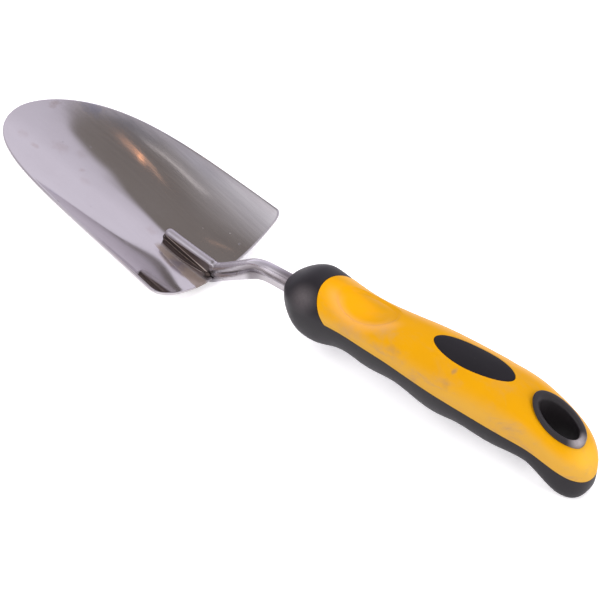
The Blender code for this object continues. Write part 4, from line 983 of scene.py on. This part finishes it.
class Builder:
    def __init__(self):
        self.points, self.faces, self.n = [], [], 0

    def add(self, pts):
        pts = np.asarray(pts, float)
        base = self.n
        self.points.append(pts)
        self.n += len(pts)
        return list(range(base, base + len(pts)))

    def strip(self, a, b, flip=False, closed=False):
        n = len(a)
        for j in range(n if closed else n - 1):
            k = (j + 1) % n
            f = (a[j], a[k], b[0]) if len(b) == 1 else (a[j], a[k], b[k], b[j])
            self.faces.append(f[::-1] if flip else f)

    def done(self):
        return np.vstack(self.points), self.faces


def upper_row(t, inset, end):
    row = []
    for j in range(TOP_COLS + 1):
        x0 = shell_front(1 - 2 * j / TOP_COLS)
        row.append(half_section(x0 + (end - x0) * t, TOP_COLS, True, inset)[j])
    return np.array(row)


def section_table(end, inset, upper, count, first):
    """Sections at many stations, to be read between."""
    xs = np.concatenate([np.linspace(first, 172, 200), 172 + (end - 172) * np.sin(np.linspace(0, math.pi / 2, 90))[1:]])
    return xs, np.array([half_section(x, count, upper, inset) for x in xs])


def read_table(table, x, j):
    xs, sec = table
    x = np.clip(x, xs[0], xs[-1])
    k = np.clip(np.searchsorted(xs, x) - 1, 0, len(xs) - 2)
    f = (x - xs[k]) / (xs[k + 1] - xs[k])
    return sec[k, j] * (1 - f)[..., None] + sec[k + 1, j] * f[..., None]


def build_shell(material):
    b = Builder()
    grids = []
    cols = np.arange(TOP_COLS + 1)
    fronts = np.array([shell_front(1 - 2 * j / TOP_COLS) for j in cols])
    for inset, end in ((0.0, HANDLE_END), (SKIN, HANDLE_END - SKIN)):
        table = section_table(end, inset, True, TOP_COLS, SHELL_FRONT - 1)
        rows = []
        for t in row_params(230, 70.0, end):
            row = read_table(table, fronts + (end - fronts) * t, cols)
            if inset == 0:
                row = dish(row)
            row[:, 2] += GAP * 0.5
            rows.append(b.add(row) if t < 1 - 1e-9 else b.add(row[:1]))
        grids.append(rows)
    for rows, flip in zip(grids, (False, True)):
        for x, y in zip(rows, rows[1:]):
            b.strip(x, y, flip)
    o, i = grids
    b.strip(o[0], i[0], True)
    for col, flip in ((0, False), (-1, True)):
        b.strip([r[col] for r in o], [r[col] for r in i], flip)
    return make_object("yellow_shell", *b.done(), material)


def tang_outline(x, grow, n):
    f = float(smooth(4.0, 36.0, x))
    r, depth, groove = 1.95 + 0.45 * f + grow, 8.4 + 1.4 * f + 2 * grow, 1.0 + 0.5 * f + grow
    pts = []
    for k in range(n):
        a = math.pi * k / TOP_COLS if k <= TOP_COLS else math.pi + math.pi * (k - TOP_COLS) / LOW_COLS
        d = (math.cos(a), math.sin(a))
        lo, hi = 0.0, 12.0
        for _ in range(36):
            m = (lo + hi) / 2
            y, z = abs(m * d[0]), abs(m * d[1])
            c = depth / 2 - r
            inside = (y <= groove and z <= c) or (y * y + (z - c) ** 2 <= r * r) or (z < c * 0.55 and y <= groove + 0.2)
            lo, hi = (m, hi) if inside else (lo, m)
        pts.append((x, lo * d[0], LEVEL_Z + lo * d[1]))
    return np.array(pts)


def build_grip(material):
    b = Builder()
    n = TOP_COLS + LOW_COLS
    cols = np.arange(TOP_COLS + 1)
    fronts = np.array([shell_front(1 - 2 * j / TOP_COLS) for j in cols]) - GAP
    sets = []
    for inset, first, end in ((0.0, FRONT_OUTER, HANDLE_END), (SKIN, FRONT_INNER, HANDLE_END - SKIN)):
        rows = []
        if inset == 0:
            # the lip round the neck is rolled in a little
            lip = tang_outline(first, 0.42, n)
            c = lip.mean(0)
            rows.append(b.add(lip + np.array([1.2, 0, 0])))
            rows.append(b.add(lip + np.array([0.35, 0, 0])))
            rows.append(b.add(c + (lip - c) * 1.06 + np.array([0.05, 0, 0])))
        else:
            rows.append(b.add(tang_outline(first, 0.42, n)))
        length = BULB_LENGTH - inset
        a0 = math.asin((BULB_X - first - 0.02) / length)
        for a in np.linspace(a0, 0, 46):
            x = BULB_X - length * math.sin(a)
            top = half_section(x, TOP_COLS, True, inset)
            low = half_section(x, LOW_COLS, False, inset)
            rows.append(b.add(np.vstack([top, low[1:-1]])))
        up_table = section_table(end, inset, True, TOP_COLS, BULB_X - 0.5)
        for f in np.linspace(0, 1, 16)[1:]:
            top = read_table(up_table, BULB_X + (fronts - BULB_X) * f, cols)
            low = half_section(BULB_X + (SHELL_SIDE - GAP - BULB_X) * f, LOW_COLS, False, inset)
            rows.append(b.add(np.vstack([top, low[1:-1]])))
        low_rows = []
        first_low = SHELL_SIDE - GAP
        for t in row_params(210, first_low, end)[1:]:
            x = first_low + (end - first_low) * t
            low = half_section(min(x, end), LOW_COLS, False, inset)
            low[:, 2] = np.maximum(low[:, 2], table_z(low[:, 0]) + inset)
            low_rows.append(b.add(low) if t < 1 - 1e-9 else b.add(low[:1]))
        sets.append((rows, low_rows))
    for (rows, low_rows), flip in zip(sets, (False, True)):
        for x, y in zip(rows, rows[1:]):
            b.strip(x, y, flip, closed=True)
        last = rows[-1]
        low0 = [last[TOP_COLS + i] if TOP_COLS + i < n else last[0] for i in range(LOW_COLS + 1)]
        chain = [low0] + low_rows
        for x, y in zip(chain, chain[1:]):
            b.strip(x, y, flip)
    (ro, lo_), (ri, li) = sets
    b.strip(ri[0], ro[0], False, closed=True)
    b.strip(ro[-1][:TOP_COLS + 1], ri[-1][:TOP_COLS + 1])
    left = ([ro[-1][TOP_COLS]] + [r[0] for r in lo_], [ri[-1][TOP_COLS]] + [r[0] for r in li])
    right = ([ro[-1][0]] + [r[-1] for r in lo_], [ri[-1][0]] + [r[-1] for r in li])
    b.strip(*left)
    b.strip(*right, flip=True)
    return make_object("black_grip", *b.done(), material)


def ellipse_tool(a, b, n=160):
    t = np.linspace(0, 2 * math.pi, n, endpoint=False)
    rings = [np.stack([RING_X + a * np.cos(t), b * np.sin(t), np.full(n, z)], -1) for z in (-20.0, 60.0)]
    return make_object("sleeve_tool", *loft(rings), None)


def oval_rings(a, b, lift, n=160, rings=10, crown=0.0):
    out = []
    t = np.linspace(0, 2 * math.pi, n, endpoint=False)
    for k in range(rings, 0, -1):
        q = k / rings
        x, y = OVAL_X + a * q * np.cos(t), b * q * np.sin(t)
        out.append(np.stack([x, y, skin_z(x, y) + lift + crown * (1 - q * q)], -1))
    return out


def build_oval(material):
    a, b = OVAL_A - 0.10, OVAL_B - 0.10
    low = oval_rings(a, b, -OVAL_THICK + 0.15)
    top = oval_rings(a - 0.22, b - 0.22, 0.20, crown=0.04)
    edge = oval_rings(a, b, -0.02)[0]
    mid = oval_rings(a - 0.06, b - 0.06, 0.14)[0]
    return make_object("oval_inlay", *loft(low[::-1] + [edge, mid] + top), material, 60)


def build_eyelet(material, n=200):
    t = np.linspace(0, 2 * math.pi, n, endpoint=False)

    def plane(x, y):
        return RING_Z + RING_SLOPE * (x - RING_X) - RING_ROUND * y * y

    def band(a, b, z):
        x, y = RING_X + a * np.cos(t), b * np.sin(t)
        return np.stack([x, y, z(x, y)], -1)

    so = (HOLE_A + SLEEVE, HOLE_B + SLEEVE)

    def seat(x, y):
        return skin_z(x, y) + GAP * 0.5 + 0.24

    prof = [
        band(*so, lambda x, y: under_z(x, y) + 0.45),
        band(*so, lambda x, y: np.minimum(seat(x, y), plane(x, y) - 0.6)),
        band(RING_A - 1.2, RING_B - 1.2, lambda x, y: np.minimum(np.maximum(seat(x, y), plane(x, y) - 2.2), plane(x, y) - 0.6)),
        band(RING_A - 0.20, RING_B - 0.20, lambda x, y: np.minimum(np.maximum(seat(x, y), plane(x, y) - 1.9), plane(x, y) - 0.40)),
        band(RING_A - 0.02, RING_B - 0.02, lambda x, y: plane(x, y) - 0.22),
        band(RING_A - 0.08, RING_B - 0.08, lambda x, y: plane(x, y) - 0.02),
        band(RING_A - 0.30, RING_B - 0.30, lambda x, y: plane(x, y) + 0.14),
        band(RING_A - 0.62, RING_B - 0.62, lambda x, y: plane(x, y) + 0.20),
        band((RING_A + HOLE_A) / 2 + 0.3, (RING_B + HOLE_B) / 2 + 0.3, lambda x, y: plane(x, y) + 0.22),
        band(HOLE_A + 1.05, HOLE_B + 1.05, lambda x, y: plane(x, y) + 0.20),
        band(HOLE_A + 0.92, HOLE_B + 0.92, lambda x, y: plane(x, y) + 0.10),
        band(HOLE_A + 0.45, HOLE_B + 0.45, lambda x, y: plane(x, y) - 0.42),
        band(HOLE_A + 0.12, HOLE_B + 0.12, lambda x, y: plane(x, y) - 0.80),
        band(HOLE_A, HOLE_B, lambda x, y: plane(x, y) - 1.3),
        band(HOLE_A, HOLE_B, lambda x, y: (plane(x, y) + under_z(x, y)) / 2),
        band(HOLE_A, HOLE_B, lambda x, y: under_z(x, y) + 1.1),
        band(HOLE_A + 0.12, HOLE_B + 0.12, lambda x, y: under_z(x, y) + 0.7),
        band(HOLE_A + 0.40, HOLE_B + 0.40, lambda x, y: under_z(x, y) + 0.5),
    ]
    return make_object("hang_ring", *band_loft(prof), material, 42)


# ---------------------------------------------------------------------------------------- assemble it
M_BLADE, M_NECK, M_WELD = steel_blade(), steel_neck(), weld_metal()
M_YELLOW = yellow_plastic()
SCRATCHES = (
    ((50.2, -8.2, 26.6), (0.25, -0.25, -0.9), 3.4, 0.16, 0.55),
    ((56.0, -11.5, 20.5), (0.8, -0.1, -0.5), 1.9, 0.14, 0.40),
    ((58.0, -13.0, 17.5), (0.2, 0.1, -0.9), 1.4, 0.18, 0.35),
    ((52.5, -10.5, 17.0), (0.9, -0.3, -0.1), 1.6, 0.12, 0.30),
)
# the grip's lighter spot on the bulb is a painted highlight, speckled like dust
M_GRIP = black_rubber("grip_rubber", (0.0095, 0.0080, 0.0105), (0.0130, 0.0112, 0.0142), 0.36, 0.46, 0.31, SCRATCHES,
                      (((62.5, -11.6, 27.0), (8.5, 7.5, 8.5), 0.75, (0.095, 0.082, 0.086)),))
M_INLAY = black_rubber("inlay_rubber", (0.0085, 0.0075, 0.0095), (0.0115, 0.0100, 0.0125), 0.58, 0.68, 0.22, None)
# the ring's pale spot at its lower right is a painted highlight
M_RING = black_rubber("ring_rubber", (0.0125, 0.0105, 0.0115), (0.0160, 0.0135, 0.0150), 0.34, 0.44, 0.45, None,
                      (((187.6, -1.5, 20.0), (5.0, 6.0, 4.0), 1.0, (0.33, 0.30, 0.31)),))
M_CORE = core_plastic()

blade = build_blade(M_BLADE)
neck = build_neck(M_NECK)
weld = build_weld(M_WELD)
shell = build_shell(M_YELLOW)
grip = build_grip(M_GRIP)
sleeve = ellipse_tool(HOLE_A + SLEEVE + GAP, HOLE_B + SLEEVE + GAP)
pocket = make_object("pocket_tool", *loft(oval_rings(OVAL_A + 0.10, OVAL_B + 0.10, -OVAL_THICK - GAP)[::-1] + oval_rings(OVAL_A + 0.10, OVAL_B + 0.10, 6.0)), None)
boolean(shell, sleeve)
boolean(shell, pocket)
boolean(grip, sleeve)
finish_modifiers(shell, 40)
finish_modifiers(grip, 40)
drop(sleeve, pocket)
oval = build_oval(M_INLAY)
ring = build_eyelet(M_RING)

for piece, node, slot in (
    (blade, "blade", "steel"), (neck, "neck", "steel"), (weld, "weld_tongue", "weld"), (shell, "shell_upper", "yellow_skin"),
    (grip, "grip_lower", "black_skin"), (oval, "inlay_oval", "black_skin"), (ring, "hang_eyelet", "black_skin"),
):
    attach(piece, "root")
    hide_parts(node)
for node, material, slot in (("weld_underside", M_WELD, "weld"), ("handle_core", M_CORE, "core")):
    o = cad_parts[node]
    o.data.materials.clear()
    o.data.materials.append(material)

# -------------------------------------------------------------------------------- floor, light, camera
def make_floor():
    m, nt, bsdf = new_material("floor_paper")
    q = Nodes(nt)
    co = q.coords()
    n = q.noise(co, 3.0, 3.0)
    q.link(q.mix(n, (0.90, 0.895, 0.90), (0.93, 0.925, 0.93)), bsdf.inputs["Base Color"])
    bsdf.inputs["Roughness"].default_value = 0.9
    bsdf.inputs["Specular IOR Level"].default_value = 0.1
    bsdf.inputs["Emission Color"].default_value = (1.0, 0.995, 1.0, 1)
    q.link(q.math("MULTIPLY", q.new("ShaderNodeLightPath").outputs["Is Camera Ray"], 0.42), bsdf.inputs["Emission Strength"])
    q.link(q.bump(q.noise(co, 900.0), 0.05, 0.0001), bsdf.inputs["Normal"])
    me = bpy.data.meshes.new("studio_floor")
    bm = bmesh.new()
    bmesh.ops.create_circle(bm, cap_ends=True, segments=96, radius=9.0)
    bm.to_mesh(me)
    bm.free()
    me.materials.append(m)
    o = bpy.data.objects.new("studio_floor", me)
    o.location.z = -0.0002
    bpy.context.scene.collection.objects.link(o)
    return o


def direction(az, el):
    a, e = math.radians(az), math.radians(el)
    return (math.cos(e) * math.cos(a), math.cos(e) * math.sin(a), math.sin(e))


def make_world():
    """A plain studio: pale walls, a dim part of the ceiling and a softbox; the small warm lamp is made with the lights
    below. The camera sees a plain pale backdrop.
    """
    w = bpy.data.worlds.new("studio")
    bpy.context.scene.world = w
    w.use_nodes = True
    nt = w.node_tree
    q = Nodes(nt)
    bg = nt.nodes["Background"]
    d = q.vmath("NORMALIZE", q.new("ShaderNodeTexCoord").outputs["Generated"])
    sep = q.new("ShaderNodeSeparateXYZ")
    q.link(d, sep.inputs[0])
    z = q.math("MAXIMUM", sep.outputs["Z"], 0.02)
    # where the ray meets the ceiling, in ceiling heights
    gx, gy = q.math("DIVIDE", sep.outputs["X"], z), q.math("DIVIDE", sep.outputs["Y"], z)

    def patch(cx, cy, rx, ry, turn=0.0, soft=1.0):
        c, s = math.cos(math.radians(turn)), math.sin(math.radians(turn))
        dx, dy = q.math("SUBTRACT", gx, cx), q.math("SUBTRACT", gy, cy)
        u = q.math("ADD", q.math("MULTIPLY", dx, c / rx), q.math("MULTIPLY", dy, s / rx))
        v = q.math("ADD", q.math("MULTIPLY", dx, -s / ry), q.math("MULTIPLY", dy, c / ry))
        r = q.math("SQRT", q.math("ADD", q.math("MULTIPLY", u, u), q.math("MULTIPLY", v, v)))
        return q.span(r, 1.0, 1.0 - soft)

    low = math.sin(math.radians(LOW_WALL))
    gain = q.span(gy, 0.40, 1.15, 0.82, 1.0)
    upper = q.mix(gain, (0.0, 0.0, 0.0), (0.90, 0.86, 0.97))
    wall = q.mix(q.span(sep.outputs["Z"], low - 0.012, low + 0.012), (0.56, 0.53, 0.64), upper)
    wall = q.mix(q.span(sep.outputs["Y"], 0.25, -0.05), wall, (0.60, 0.575, 0.62))
    # the dim ceiling, with a cooler rim, warm and cool patches, and a bright end over the softbox
    left = q.math("MULTIPLY_ADD", gy, 0.12, gx)
    corner = q.math("ADD", gy, q.math("MAXIMUM", q.math("SUBTRACT", -0.36, gx), 0.0))
    dark = q.math("MULTIPLY", q.span(left, -0.367, -0.352), q.span(corner, 0.69, 0.56))
    dark = q.math("MULTIPLY", dark, q.span(gx, 0.025, -0.015))
    ceiling = q.mix(q.span(gy, -0.02, -0.95), (0.258, 0.232, 0.216), (0.97, 0.97, 1.02))
    ceiling = q.mix(q.math("MULTIPLY", patch(-0.285, -0.46, 0.07, 0.22), 0.6), ceiling, (0.50, 0.50, 0.58))
    ceiling = q.mix(q.math("MULTIPLY", patch(-0.340, -0.17, 0.075, 0.32, 0.0), 0.95), ceiling, (0.200, 0.206, 0.245))
    col = q.mix(dark, wall, ceiling)
    right = q.math("MULTIPLY", q.span(gx, -0.015, 0.05), q.span(sep.outputs["Z"], 0.15, 0.4))
    col = q.mix(q.math("MULTIPLY", right, q.span(gy, 0.75, 0.55)), col, (0.68, 0.66, 0.71))
    box = q.span(q.vmath("DOT_PRODUCT", d, direction(-113, 29)), 0.90, 0.975)
    col = q.mix(box, col, (1.10, 1.07, 1.11))
    path = q.new("ShaderNodeLightPath")
    col = q.mix(path.outputs["Is Camera Ray"], col, (0.985, 0.985, 0.99))
    q.link(col, bg.inputs["Color"])
    bg.inputs["Strength"].default_value = 1.0
    return w


def area_light(name, position, target, size, power, colour=(1, 1, 1), glossy=True):
    data = bpy.data.lights.new(name, "AREA")
    data.shape, data.size, data.energy, data.color = "DISK", size, power, colour
    o = bpy.data.objects.new(name, data)
    o.location = position
    o.rotation_mode = "QUATERNION"
    o.rotation_quaternion = (Vector(target) - Vector(position)).to_track_quat("-Z", "Y")
    o.visible_glossy = glossy
    bpy.context.scene.collection.objects.link(o)
    return o


make_floor()
make_world()
area_light("key", (-0.5, -0.9, 1.1), (0.0, 0.0, 0.02), 0.8, 8.0, (1.0, 0.98, 0.96), False)
area_light("top", (0.1, 0.2, 1.5), (0.0, 0.0, 0.0), 1.4, 7.0, (1.0, 0.99, 0.98), False)
area_light("end", (1.2, -0.25, 0.7), (0.05, 0.0, 0.02), 0.8, 7.0, (1.0, 0.99, 0.98), False)
for name, at, to, across, along, power, colour in (
    ("warm_core", (-257.0, 95.0, 799.0), (-69.3, 20.3, 25.9), 0.050, 0.022, 0.0062, (1.0, 0.42, 0.16)),
    ("warm_halo", (-262.0, 97.0, 800.0), (-69.3, 20.3, 25.9), 0.100, 0.075, 0.0050, (1.0, 0.52, 0.32)),
    ("silver", (-222.0, -131.0, 790.0), (-53.0, 28.0, 24.5), 0.210, 0.030, 0.0075, (1.0, 0.96, 0.93)),
    ("warm_tail", (-200.0, 65.0, 808.0), (-57.0, 19.5, 22.0), 0.024, 0.090, 0.0026, (1.0, 0.56, 0.34)),
):
    lamp = area_light(name, tuple(place(np.array(at))), tuple(place(np.array(to))), 0.05, power, colour, True)
    lamp.data.shape, lamp.data.size, lamp.data.size_y = "ELLIPSE", across, along
    lamp.visible_camera = False

AZ, EL, DISTANCE, LENS = 42.006, 37.46, 600.0, 86.33
a_, e_ = math.radians(AZ), math.radians(EL)
back = np.array([math.sin(a_) * math.cos(e_), -math.cos(a_) * math.cos(e_), math.sin(e_)])
right = np.array([math.cos(a_), math.sin(a_), 0.0])
up_v = np.cross(back, right)
target_mm = np.array([50.026, 0.0, 13.459])
eye = turned(target_mm + DISTANCE * back)
eye = Vector(((eye[0] - MID_X) / 1000, eye[1] / 1000, (eye[2] - FLOOR_Z) / 1000))
cam_data = bpy.data.cameras.new("camera")
cam_data.lens, cam_data.sensor_width = LENS, 36.0
cam_data.clip_start, cam_data.clip_end = 0.01, 60.0
cam = bpy.data.objects.new("camera", cam_data)
bpy.context.scene.collection.objects.link(cam)
r_, u_, b_ = place_dir(right), place_dir(up_v), place_dir(back)
cam.matrix_world = Matrix(((r_.x, u_.x, b_.x, eye.x), (r_.y, u_.y, b_.y, eye.y), (r_.z, u_.z, b_.z, eye.z), (0, 0, 0, 1)))
bpy.context.scene.camera = cam
bpy.context.scene.view_settings.view_transform = "Standard"

bpy.context.view_layer.update()
